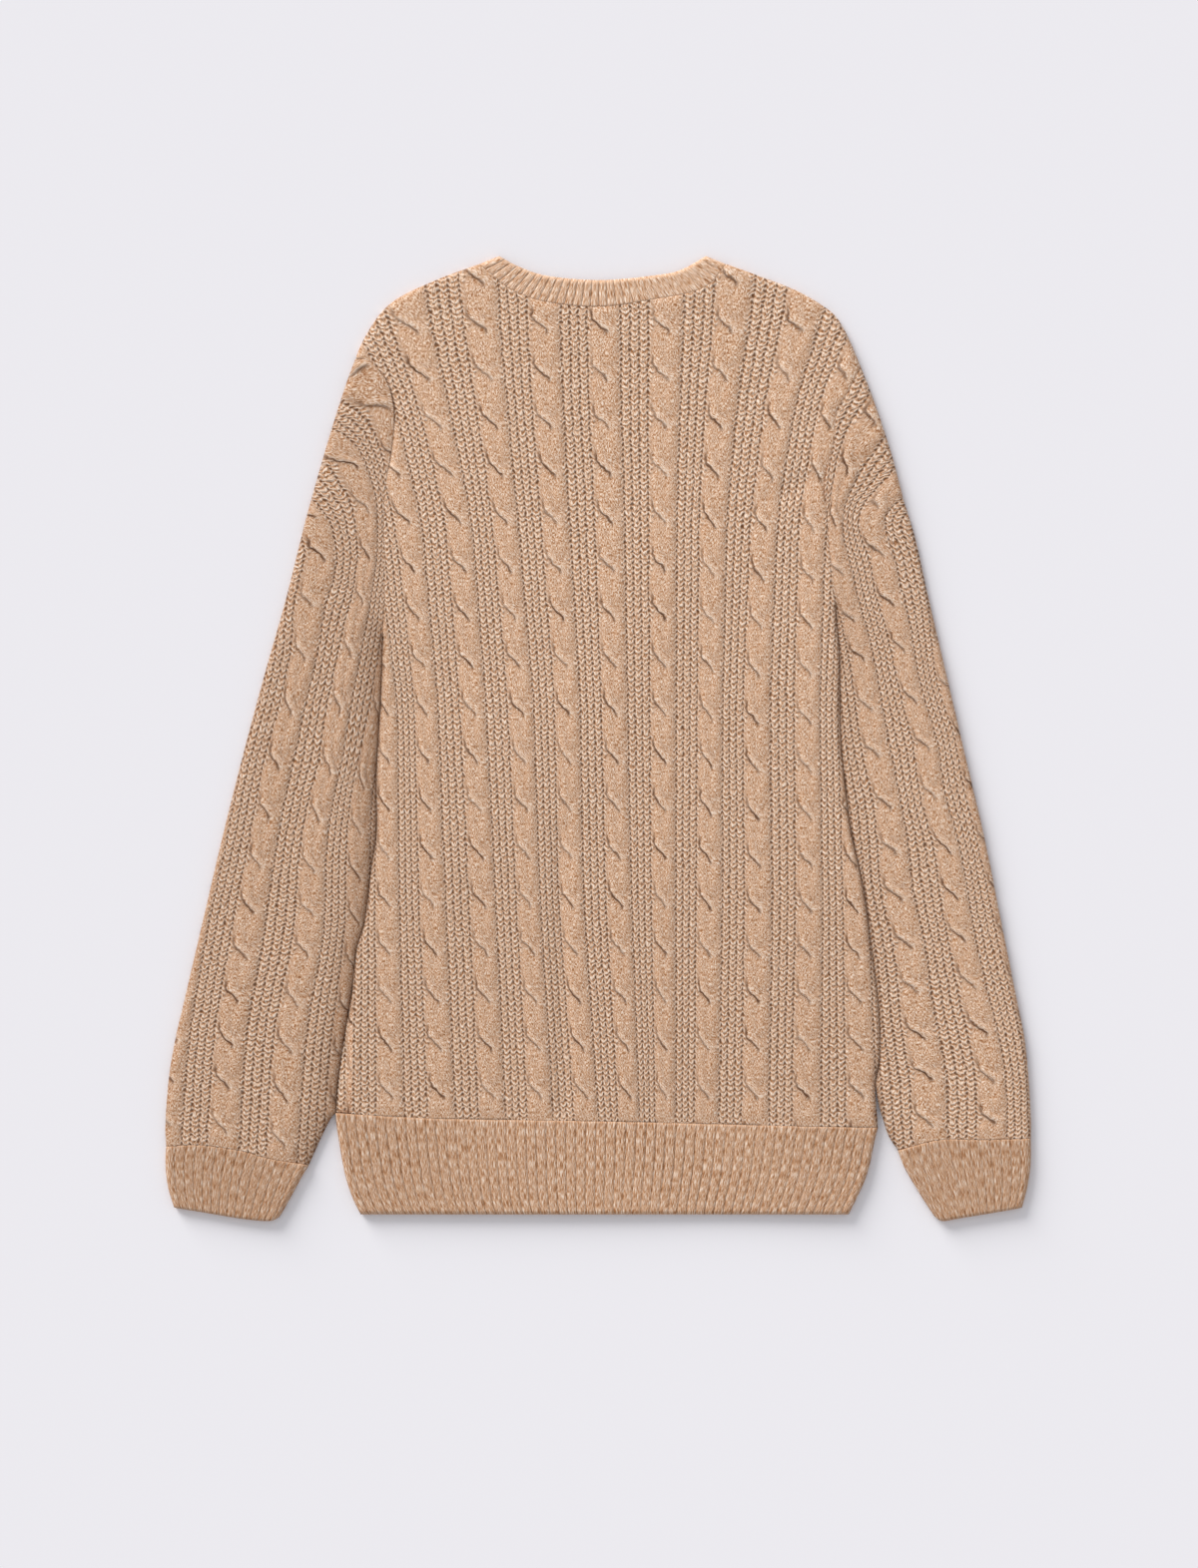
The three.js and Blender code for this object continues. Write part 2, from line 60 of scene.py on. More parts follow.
# The knit. A wale is one column of stitches and a course is one row of them. A lane is one cable with
# the band of plain stitches on its right.
CROSSING_PITCH = 35.9
FIRST_CROSSING_Y = 310.5
COURSES_PER_CROSSING = 9
COURSE = CROSSING_PITCH / COURSES_PER_CROSSING
GROUND_WALES = 3.5
GROUND_MARGIN = 0.25
LEG_LEAN = 0.8
RIB_PITCH = 7.1
LANE_PITCH = 36.0

# A cable. A strand's place and width are shares of half the cable's width, and a crossing's reach is
# a share of the distance between crossings.
CABLE_HALF_LANE = 0.245
CABLE_RISE = 0.85
STRAND_SWING = 0.52
STRAND_SET = 0.12
STRAND_HALF = 0.46
CROSSING_REACH = 0.2
CABLE_WAIST = 0.22

# How much of the knit's relief is left in a seam, how high the cloth billows, and how thin the upper
# layer and the roof of a tube's slot may get at their edges.
SEAM_RELIEF = 0.15
BILLOW = 0.5
LEAST_WALL = 0.5
LEAST_ROOF = 0.15

NECK_TOP: Line = [(-74, 362), (-59, 354), (-37, 347), (3, 344), (46, 348), (63, 352), (81, 362)]
NECK_SEAM: Line = [
    (-89, 356), (-76, 345), (-62, 335), (-37, 327), (3, 324), (46, 330), (68, 334), (84, 341), (96, 356),
]
FRONT_NECK_TOP: Line = [(-74, 362), (-66, 328), (-40, 297), (3, 286), (46, 297), (72, 328), (81, 362)]
FRONT_NECK_SEAM: Line = [
    (-89, 356), (-84, 320), (-52, 278), (3, 265), (58, 278), (91, 320), (96, 356),
]
LEFT_SHOULDER: Line = [
    (-89, 356), (-119, 345), (-149, 331), (-164, 318), (-176, 299), (-182, 285),
]
RIGHT_SHOULDER: Line = [
    (96, 356), (121, 347), (151, 335), (175, 320), (184, 308), (189, 298), (197, 279),
]
LEFT_ARMHOLE: Line = [
    (-182, 285), (-172, 283), (-161, 272), (-155, 258), (-153, 238), (-156, 210), (-160, 180),
    (-160, 135), (-160, 105), (-161, 75),
]
RIGHT_ARMHOLE: Line = [
    (197, 279), (187, 259), (179, 246), (177, 225), (172, 202), (170, 188), (172, 165), (175, 123),
    (178, 99),
]
LEFT_SIDE: Line = [
    (-161, 75), (-163, 26), (-166, -25), (-166, -70), (-170, -98), (-175, -137), (-181, -158),
    (-184, -184), (-191, -225), (-196, -262), (-197, -281),
]
RIGHT_SIDE: Line = [
    (178, 99), (181, 60), (182, 0), (188, -60), (194, -90), (200, -120), (208, -180), (211, -210),
    (211, -240), (208, -259), (210, -292),
]
ARMHOLE_CREASE: Line = [(-161, 272), (-155, 258), (-153, 238)]
ARMHOLE_PUCKER: Line = [(171, 196), (169.5, 188), (171, 178)]
HEM_SEAM: Line = [(-197, -281), (-120, -285), (0, -287), (120, -290), (210, -292)]
LEFT_HEM_SIDE: Line = [
    (-197, -281), (-196, -291), (-194, -304), (-192, -316), (-189, -330), (-184, -345), (-178, -357),
]
RIGHT_HEM_SIDE: Line = [
    (210, -292), (207, -304), (204, -319), (200, -332), (194, -345), (188, -357),
]
HEM_EDGE: Line = [(-178, -357), (188, -357)]
LEFT_SLEEVE_OUTER: Line = [
    (-182, 285), (-189, 266), (-202, 225), (-219, 165), (-234, 105), (-251, 45), (-267, -15),
    (-282, -75), (-296, -135), (-310, -195), (-317, -225), (-322, -255), (-324.6, -290), (-324, -306),
]
RIGHT_SLEEVE_OUTER: Line = [
    (197, 279), (206, 256), (220, 214), (229, 180), (238, 150), (248, 105), (263, 41), (276, -15),
    (290, -75), (302, -135), (314, -195), (320, -225), (323, -255), (324.7, -285), (324.7, -300),
]
LEFT_SLEEVE_INNER: Line = [(-197, -281), (-201, -286), (-208, -300), (-217, -320)]
RIGHT_SLEEVE_INNER: Line = [(208, -259), (211, -276), (214, -286), (218, -298), (225, -309)]
LEFT_CUFF_SEAM: Line = [(-324, -306), (-299, -305), (-269, -309), (-247, -315), (-217, -320)]
RIGHT_CUFF_SEAM: Line = [(324.7, -300), (286, -301), (256, -301), (225, -309)]
LEFT_CUFF_OUTER: Line = [(-324, -306), (-324.5, -320), (-322.5, -337), (-318, -352)]
RIGHT_CUFF_OUTER: Line = [(324.7, -300), (324.5, -320), (322, -337), (318, -352)]
LEFT_CUFF_EDGE: Line = [(-318, -352), (-299, -355), (-269, -360), (-247, -362), (-239, -359)]
RIGHT_CUFF_EDGE: Line = [(318, -352), (301, -355), (271, -360), (258, -362), (252, -358)]
LEFT_CUFF_INNER: Line = [(-217, -320), (-224, -332), (-232, -347), (-239, -359)]
RIGHT_CUFF_INNER: Line = [(225, -309), (230, -322), (241, -341), (252, -358)]

# x of each body cable's centre line, left to right, at that y.
BODY_CABLES: list[tuple[float, list[float]]] = [
    (380, [-310, -240, -153, -90, -42, 3, 51, 105, 166, 245, 320]),
    (308, [-255, -198, -139, -86, -40, 4, 51, 99, 151, 205, 262]),
    (255, [-212, -164, -125, -80, -38, 5, 50, 92, 138, 176, 226]),
    (165, [-178, -143, -104, -70, -33, 9, 49, 86, 125, 160, 200]),
    (30, [-158, -130, -94, -58, -23, 12, 49, 84, 118, 158, 188]),
    (-120, [-158, -125, -86, -52, -21, 16, 49, 83, 120, 159, 193]),
    (-262, [-156, -118, -80, -44, -10, 23, 50, 81, 118, 156, 197]),
    (-310, [-155, -115, -78, -42, -7, 25, 50, 80, 117, 155, 198]),
]

# Where a sleeve's cables cross: lane, crossing number from the cuff, x, y.
LEFT_SLEEVE_CROSSINGS: list[tuple[float, float, float, float]] = [
    (1, 0, -280, -290), (1, 1, -278, -257), (1, 2, -276, -225), (1, 3, -271, -192),
    (1, 4, -265, -160), (1, 5, -260, -125), (1, 6, -254, -92), (1, 7, -247, -54),
    (1, 8, -240, -17), (1, 9, -230, 24), (1, 10, -220, 65), (1, 11, -216, 105),
    (1, 12, -206, 139), (1, 12.7, -213, 163), (1, 13.3, -226, 176),
    (2, 0, -236, -301), (2, 1, -234, -266), (2, 2, -231, -230), (2, 3, -226, -195),
    (2, 4, -218, -158), (2, 5, -215, -128), (2, 6, -214, -95), (2, 7, -209, -56),
    (2, 8, -200, -20), (2, 9, -193, 28), (2, 10, -185, 68), (2, 11, -176, 106),
    (2, 12, -171, 140), (2, 13, -173, 176), (2, 14, -184, 208), (2, 14.55, -200, 221),
    (1.5, 12, -188, 137), (1.5, 12.45, -190, 153), (1.5, 13.2, -200, 177), (1.5, 13.65, -212, 191),
    (2.5, 11, -165, 106), (2.5, 12, -161, 140), (2.5, 13, -160, 172), (2.5, 13.6, -164, 196),
    (2.5, 14.2, -171, 216), (2.5, 14.9, -187, 236), (2.5, 15.25, -198, 242),
    (3, 14, -153, 215), (3, 14.7, -157, 240), (3, 15, -161, 252), (3, 15.4, -166, 264),
    (3, 15.7, -174, 274), (3, 15.95, -184, 273),
    (3, 4, -183, -168), (3, 6, -180, -100), (3, 8, -176, -32),
    (0, 9, -262, 34), (0, 6, -290, -85), (0, 3, -312, -190), (0, 0, -323, -285),
]
RIGHT_SLEEVE_CROSSINGS: list[tuple[float, float, float, float]] = [
    (2, 0, 296, -284), (2, 1, 295, -253), (2, 2, 288, -216), (2, 3, 280, -182),
    (2, 4, 272, -146), (2, 5, 267, -115), (2, 6, 262, -80), (2, 7, 250, -39),
    (2, 8, 246, -3), (2, 9, 236, 32), (2, 10, 228, 70), (2, 11, 218, 106),
    (2, 12, 210, 144), (2, 12.55, 205, 164), (2, 13.05, 213, 178), (2, 13.45, 224, 188),
    (1, 0, 248, -285), (1, 1, 247, -250), (1, 2, 241, -220), (1, 3, 237, -185),
    (1, 4, 233, -152), (1, 5, 224, -115), (1, 6, 221, -81), (1, 7, 217, -47),
    (1, 8, 208, -8), (1, 9, 203, 26), (1, 10, 197, 64), (1, 11, 190, 92),
    (1, 12, 181, 128), (1, 13, 178, 165), (1, 13.5, 181, 184), (1, 14, 188, 206), (1, 14.7, 201, 230),
    (1, 15.15, 213, 246),
    (1.5, 12, 196, 134), (1.5, 12.7, 189, 158), (1.5, 13, 190, 172), (1.5, 13.5, 199, 187),
    (1.5, 14, 210, 203), (1.5, 14.4, 220, 215),
    (0.5, 13.5, 170, 184), (0.5, 14.3, 173, 215), (0.5, 15.1, 181, 242), (0.5, 15.6, 191, 260),
    (2.5, 11, 239, 104), (2.5, 12, 230, 141), (2.5, 12.7, 224, 166),
    (3, 9, 262, 42), (3, 6, 292, -75), (3, 3, 316, -180), (3, 0, 332, -275),
]


class Stitch(Enum):
    """The stitches that a piece carries, with the sizes in mm of one step of their map."""

    CABLE = (LANE_PITCH, CROSSING_PITCH)
    RIB = (RIB_PITCH, COURSE)


@dataclass(frozen=True)
class Fold:
    """A soft trough or ridge pressed into the cloth along a line."""

    line: tuple[tuple[float, float], ...]
    width: float
    depth: float


@dataclass(frozen=True)
class Edge:
    """How cloth rolls down along a line, by drop within radius, and gets painted shade, by shade within
    wide.
    """

    line: Line
    radius: float
    drop: float
    wide: float
    shade: float


BODY_FOLDS: tuple[Fold, ...] = (
    Fold(((-27, -70), (-27, -180), (-26, -277)), 7.0, 1.1),
    Fold(((-90, -120), (-70, -200), (-66, -277)), 16.0, 0.7),
    Fold(((60, -150), (92, -220), (110, -285)), 20.0, 0.6),
    Fold(((120, 120), (60, 40), (20, -60)), 34.0, 0.6),
    Fold(((-150, 20), (-90, 60), (-30, 60)), 30.0, 0.5),
    Fold(((172, 196), (150, 190), (128, 178)), 9.0, 0.9),
    Fold(((-158, 210), (-154, 250), (-160, 275)), 6.0, 0.8),
)
# The body's edges. Painted shade darkens its rims, its seams and the creases at the armholes.
BODY_EDGES: tuple[Edge, ...] = (
    Edge(LEFT_SIDE, 4.5, 2.9, 2.2, 0.5), Edge(RIGHT_SIDE, 4.5, 2.5, 2.2, 0.25),
    Edge(LEFT_SHOULDER, 4.0, 2.8, 3.0, 0.22), Edge(RIGHT_SHOULDER, 4.0, 2.8, 3.0, 0.12),
    Edge(LEFT_ARMHOLE, 3.0, 0.25, 2.0, 0.0), Edge(RIGHT_ARMHOLE, 3.0, 0.25, 2.0, 0.0),
    Edge(ARMHOLE_CREASE, 3.5, 0.9, 1.5, 0.4), Edge(ARMHOLE_PUCKER, 4.0, 0.9, 1.8, 0.35),
    Edge(HEM_SEAM, 3.0, 0.05, 2.0, 0.02), Edge(NECK_SEAM, 2.5, 0.15, 1.5, 0.03),
)
# The body's seams, and how far from each the knit's relief is whole again.
BODY_SEAMS: tuple[tuple[Line, float], ...] = (
    (HEM_SEAM, 9.0), (NECK_SEAM, 5.0), (LEFT_ARMHOLE, 5.0), (RIGHT_ARMHOLE, 5.0),
)
# A front layer's edge: height of each ring of points, and how far in from the outline it is.
LAYER_RINGS: tuple[tuple[float, float], ...] = (
    (0.0, 1.6), (0.35, 0.7), (1.1, 0.15), (1.9, 0.1), (2.8, 0.5), (WALL, 1.3),
)
# A tube's fold, from its side to the table: how far in from the edge, and how high.
TUBE_FOLD: tuple[tuple[float, float], ...] = ((-0.05, 2.4), (0.25, 1.3), (0.8, 0.5), (1.9, 0.0))
# Where the underside of a tube has its lines of points, as shares of its width.
TUBE_UNDERSIDE: tuple[float, ...] = (0.08, 0.2, 0.32, 0.44, 0.56, 0.68, 0.8, 0.92)


def smooth(low: float, high: float, value: np.ndarray) -> np.ndarray:
    """A soft step from 0 at low to 1 at high.

    Args:
        low: Where the step starts.
        high: Where it ends.
        value: The values to read it at.

    Returns:
        The step at each value.
    """
    t = np.clip((value - low) / (high - low), 0.0, 1.0)
    return t * t * (3 - 2 * t)


def curve_through(points: Line, step: float = 3.0) -> np.ndarray:
    """A smooth line through points, in equal steps.

    Args:
        points: The points that it passes through.
        step: The length of a step.

    Returns:
        Its points, one row each.
    """
    p = np.array(points, float)
    if len(p) == 2:
        dense = p
    else:
        padded = np.vstack([2 * p[0] - p[1], p, 2 * p[-1] - p[-2]])
        t = np.linspace(0, 1, 24, endpoint=False)[:, None]
        parts = []
        for i in range(len(p) - 1):
            a, b, c, d = padded[i : i + 4]
            parts.append(
                0.5 * (2 * b + (c - a) * t + (2 * a - 5 * b + 4 * c - d) * t**2
                       + (3 * b - a - 3 * c + d) * t**3)
            )
        dense = np.vstack([*parts, p[-1:]])
    along = np.concatenate([[0], np.cumsum(np.linalg.norm(np.diff(dense, axis=0), axis=1))])
    count = max(2, round(along[-1] / step) + 1)
    return along_line(dense, np.linspace(0, 1, count), along)


def along_line(dense: np.ndarray, part: np.ndarray, along: np.ndarray | None = None) -> np.ndarray:
    """Points at parts of a line's length.

    Args:
        dense: The line's points.
        part: The parts, from 0 to 1.
        along: The length up to each point, if it is known.

    Returns:
        One point for each part.
    """
    if along is None:
        along = np.concatenate([[0], np.cumsum(np.linalg.norm(np.diff(dense, axis=0), axis=1))])
    at = part * along[-1]
    return np.stack([np.interp(at, along, dense[:, k]) for k in range(2)], axis=-1)


def closed(parts: list[np.ndarray]) -> np.ndarray:
    """A closed loop of lines that each start where the last one ends."""
    return np.vstack([part[:-1] for part in parts])


def distance_to(points: np.ndarray, line: np.ndarray) -> tuple[np.ndarray, np.ndarray]:
    """How far points are from a line, and where on it they are nearest.

    Args:
        points: The points, (n, 2).
        line: The line's points, (m, 2).

    Returns:
        The distances and the nearest points.
    """
    best = np.full(len(points), 1e9)
    nearest = np.zeros_like(points)
    for a, b in zip(line[:-1], line[1:]):
        d = b - a
        t = np.clip(((points - a) @ d) / max(float(d @ d), 1e-12), 0, 1)
        q = a + t[:, None] * d
        gap = np.hypot(points[:, 0] - q[:, 0], points[:, 1] - q[:, 1])
        closer = gap < best
        best[closer] = gap[closer]
        nearest[closer] = q[closer]
    return best, nearest


def inside(points: np.ndarray, loop: np.ndarray) -> np.ndarray:
    """Whether points are inside a closed loop.

    Args:
        points: The points, (n, 2).
        loop: The loop's points, (m, 2).

    Returns:
        A truth value for each point.
    """
    x, y = points[:, 0], points[:, 1]
    found = np.zeros(len(points), bool)
    for (x1, y1), (x2, y2) in zip(loop, np.roll(loop, -1, axis=0)):
        if y1 == y2:
            continue
        crosses = (y1 > y) != (y2 > y)
        found ^= crosses & (x < (x2 - x1) * (y - y1) / (y2 - y1) + x1)
    return found


def roll_off(distance: np.ndarray, radius: float, drop: float) -> np.ndarray:
    """How far cloth has rolled down near an edge.

    Args:
        distance: Distance from the edge.
        radius: Where the roll starts.
        drop: How far down the edge itself is.

    Returns:
        The drop at each distance.
    """
    t = np.clip(1 - distance / radius, 0, 1)
    return drop * (1 - np.sqrt(np.clip(1 - t * t, 0, 1)))


def fold_depth(points: np.ndarray, folds: tuple[Fold, ...]) -> np.ndarray:
    """The depth of all the folds at each point.

    Args:
        points: The points, (n, 2).
        folds: The folds.

    Returns:
        How far down the cloth is pressed.
    """
    total = np.zeros(len(points))
    for fold in folds:
        line = curve_through(list(fold.line), 8.0)
        gap, _ = distance_to(points, line)
        total += fold.depth * np.exp(-((gap / fold.width) ** 2))
    return total


def billow(points: np.ndarray, height: float) -> np.ndarray:
    """The slow waviness of cloth that was laid down by hand.

    Args:
        points: The points, (n, 2).
        height: How high the waves are.

    Returns:
        The height at each point.
    """
    x, y = points[:, 0], points[:, 1]
    waves = np.sin(x / 31 + y / 83 + 0.4) + np.sin(x / 53 - y / 47 + 1.9)
    waves = waves + np.sin(x / 22 + y / 140 + 2.7) * 0.6
    return height * waves / 2.6


@dataclass
class Relief:
    """What the knit does at a set of points.

    The map holds lanes and crossings on cable knit, and ribs and courses on rib. shade is painted shade.
    """

    height: np.ndarray
    map: np.ndarray
    shade: np.ndarray


@dataclass(frozen=True)
class RopeCable:
    """A rope cable of two strands, the left one always passing over to the right going down."""

    rise: float = CABLE_RISE
    dip: float = 1.0
    lift: float = 0.45

    def relief(self, s: np.ndarray, turn: np.ndarray) -> np.ndarray:
        """The rope's form.

        Args:
            s: Place across it, -1 at its left edge and 1 at its right.
            turn: Crossings counted along it, whole at each crossing.

        Returns:
            Its height at each point.
        """
        tau = turn - np.round(turn)
        front = STRAND_SET - STRAND_SWING * np.sin(np.clip(tau / CROSSING_REACH, -1, 1) * np.pi / 2)
        near = np.exp(-((tau / (CROSSING_REACH * 0.95)) ** 2))
        front_round = np.clip(1 - ((s - front) / STRAND_HALF) ** 2, 0, 1)
        under_round = np.clip(1 - ((s + front) / STRAND_HALF) ** 2, 0, 1)
        front_height = self.rise * front_round + self.lift * near * front_round
        under_height = self.rise * under_round - self.dip * near
        strands = np.maximum(np.maximum(front_height, under_height), 0)
        drawn_in = 1 - CABLE_WAIST * np.exp(-((tau / 0.16) ** 2))
        pod = self.rise * np.clip(1 - (s / drawn_in) ** 2, 0, 1)
        part = 0.55 * (1 - near)
        return strands * (1 - part) + pod * part


@dataclass(frozen=True)
class CableKnit:
    """Rope cables with bands of plain stitches between them."""

    rope: RopeCable = field(default_factory=RopeCable)
    groove: float = 0.5
    leg: float = 0.09

    def relief(self, lane: np.ndarray, turn: np.ndarray) -> Relief:
        """The knit's form.

        Args:
            lane: Whole at each cable's centre line.
            turn: Crossings counted along the cables.

        Returns:
            Its relief.
        """
        s = (lane - np.round(lane)) / CABLE_HALF_LANE
        rope = self.rope.relief(np.clip(s, -1, 1), turn)
        past = lane - CABLE_HALF_LANE
        past = (past - np.floor(past)) / (1 - 2 * CABLE_HALF_LANE)
        wale = past * GROUND_WALES - GROUND_MARGIN
        course = turn * COURSES_PER_CROSSING
        column = np.abs(2 * (wale - np.floor(wale)) - 1)
        ridge = np.cos(2 * np.pi * (course - LEG_LEAN * column))
        ground = -self.groove * column**4 + self.leg * ridge * (1 - column**4)
        height = np.where(np.abs(s) <= 1, rope, ground)
        return Relief(height, np.stack([lane, turn], -1), np.zeros_like(height))


@dataclass(frozen=True)
class RibKnit:
    """Ribs of knit stitches with narrow valleys."""

    rise: float = 0.7

    def relief(self, rib: np.ndarray, course: np.ndarray) -> Relief:
        """The rib's form.

        Args:
            rib: Ribs counted across, whole in each valley.
            course: Stitches counted along.

        Returns:
            Its relief.
        """
        side = np.abs(2 * (rib - np.floor(rib)) - 1)
        height = self.rise * (0.4 - side**6)
        return Relief(height, np.stack([rib, course], -1), np.zeros_like(height))


class FieldThroughPoints:
    """A smooth value over the plane that passes near given values at given points."""

    def __init__(self, points: np.ndarray, values: np.ndarray, ease: float = 0.004) -> None:
        """Fits a thin plate.

        Args:
            points: Where the values are known, (n, 2).
            values: The values, (n, k).
            ease: How far it may pass from them, for smoothness.
        """
        self.points = points
        n = len(points)
        kernel = self._kernel(points) + ease * np.eye(n)
        flat = np.hstack([np.ones((n, 1)), points / 100])
        system = np.block([[kernel, flat], [flat.T, np.zeros((3, 3))]])
        self.weights = np.linalg.solve(system, np.vstack([values, np.zeros((3, values.shape[1]))]))

    def _kernel(self, at: np.ndarray) -> np.ndarray:
        """The plate's kernel between points and the known ones."""
        r2 = ((at[:, None, :] - self.points[None]) ** 2).sum(-1) / 1e4
        return r2 * np.log(np.maximum(r2, 1e-12)) / 2

    def at(self, points: np.ndarray) -> np.ndarray:
        """The values at points.

        Args:
            points: The points, (n, 2).

        Returns:
            The values, (n, k).
        """
        parts = []
        for i in range(0, len(points), 20000):
            p = points[i : i + 20000]
            flat = np.hstack([np.ones((len(p), 1)), p / 100])
            parts.append(self._kernel(p) @ self.weights[:-3] + flat @ self.weights[-3:])
        return np.vstack(parts)


@dataclass
class Cloth:
    """Points and faces of one piece, with what its finish reads."""

    points: np.ndarray
    faces: list[list[int]]
    map: np.ndarray
    shade: np.ndarray

    def piece(self, name: str, finish: bpy.types.Material) -> bpy.types.Object:
        """Makes the mesh.

        Args:
            name: The piece's name.
            finish: Its material.

        Returns:
            The piece.
        """
        mesh = bpy.data.meshes.new(name)
        mesh.from_pydata((self.points / 1000).tolist(), [], self.faces)
        mesh.update()
        corner = np.zeros(len(mesh.loops), np.int32)
        mesh.loops.foreach_get("vertex_index", corner)
        layer = mesh.uv_layers.new(name="stitches")
        layer.uv.foreach_set("vector", self.map[corner].astype(np.float32).ravel())
        # The painted shade of rims, seams, creases and the slow falloff of light, which darkens the
        # colour.
        attribute = mesh.attributes.new("painted_shade", "FLOAT", "POINT")
        attribute.data.foreach_set("value", self.shade.astype(np.float32))
        mesh.polygons.foreach_set("use_smooth", np.ones(len(mesh.polygons), bool))
        mesh.materials.append(finish)
        mesh.validate()
        piece = bpy.data.objects.new(name, mesh)
        bpy.context.scene.collection.objects.link(piece)
        return piece


def grid_faces(rows: int, columns: int, wraps: bool = False) -> np.ndarray:
    """The four-sided faces of a grid of points.

    Args:
        rows: Rows of points.
        columns: Points in a row.
        wraps: Whether the last column joins the first.

    Returns:
        Their corners, (n, 4).
    """
    r = np.arange(rows - 1)[:, None] * columns
    c = np.arange(columns if wraps else columns - 1)[None]
    n = (c + 1) % columns
    return np.stack([r + c, r + n, r + columns + n, r + columns + c], -1).reshape(-1, 4)


def slab(top: np.ndarray, faces: np.ndarray, base: float, relief: Relief) -> Cloth:
    """Closes a sheet of points to a flat underside.

    Args:
        top: The points of the upper side.
        faces: Its four-sided faces, seen from above anticlockwise.
        base: The height of the underside.
        relief: What the points carry.

    Returns:
        The closed cloth.
    """
    used = np.unique(faces)
    number = np.full(len(top), -1)
    number[used] = np.arange(len(used))
    faces = number[faces]
    points = top[used]
    edges = np.concatenate([faces[:, [i, (i + 1) % 4]] for i in range(4)])
    keys = edges[:, 0].astype(np.int64) * (len(used) + 1) + edges[:, 1]
    back = edges[:, 1].astype(np.int64) * (len(used) + 1) + edges[:, 0]
    rim = edges[~np.isin(keys, back)]
    after = {int(a): int(b) for a, b in rim}
    loops = []
    while after:
        start, at = next(iter(after.items()))
        loop = [start]
        del after[start]
        while at != start:
            loop.append(at)
            at = after.pop(at)
        loops.append(loop)
    loops.sort(key=len)
    walls: list[list[int]] = []
    low_points = []
    count = len(points)
    carried = []
    for loop in loops:
        first = count + len(low_points)
        for v in loop:
            low_points.append([points[v][0], points[v][1], base])
            carried.append(v)
        size = len(loop)
        for i, v in enumerate(loop):
            j = (i + 1) % size
            walls.append([loop[j], v, first + i, first + j])
        walls.append([first + i for i in range(size)][::-1])
    every = np.vstack([points, np.array(low_points)])
    take = used[np.concatenate([np.arange(len(used)), np.array(carried, int)])]
    return Cloth(every, faces.tolist() + walls, relief.map[take], relief.shade[take])


def patch(bottom: np.ndarray, top: np.ndarray, start: np.ndarray, end: np.ndarray) -> np.ndarray:
    """A four-sided patch between four lines, by blending them.

    Args:
        bottom: The first row, (n, 2).
        top: The last row, (n, 2).
        start: The first column, (m, 2).
        end: The last column, (m, 2).

    Returns:
        Points, (m, n, 2).
    """
    a = np.linspace(0, 1, len(bottom))[None, :, None]
    b = np.linspace(0, 1, len(start))[:, None, None]
    ruled = (1 - b) * bottom[None] + b * top[None]
    crossed = (1 - a) * start[:, None] + a * end[:, None]
    corners = (
        (1 - a) * (1 - b) * bottom[0] + a * (1 - b) * bottom[-1] + (1 - a) * b * top[0] + a * b * top[-1]
    )
    return ruled + crossed - corners


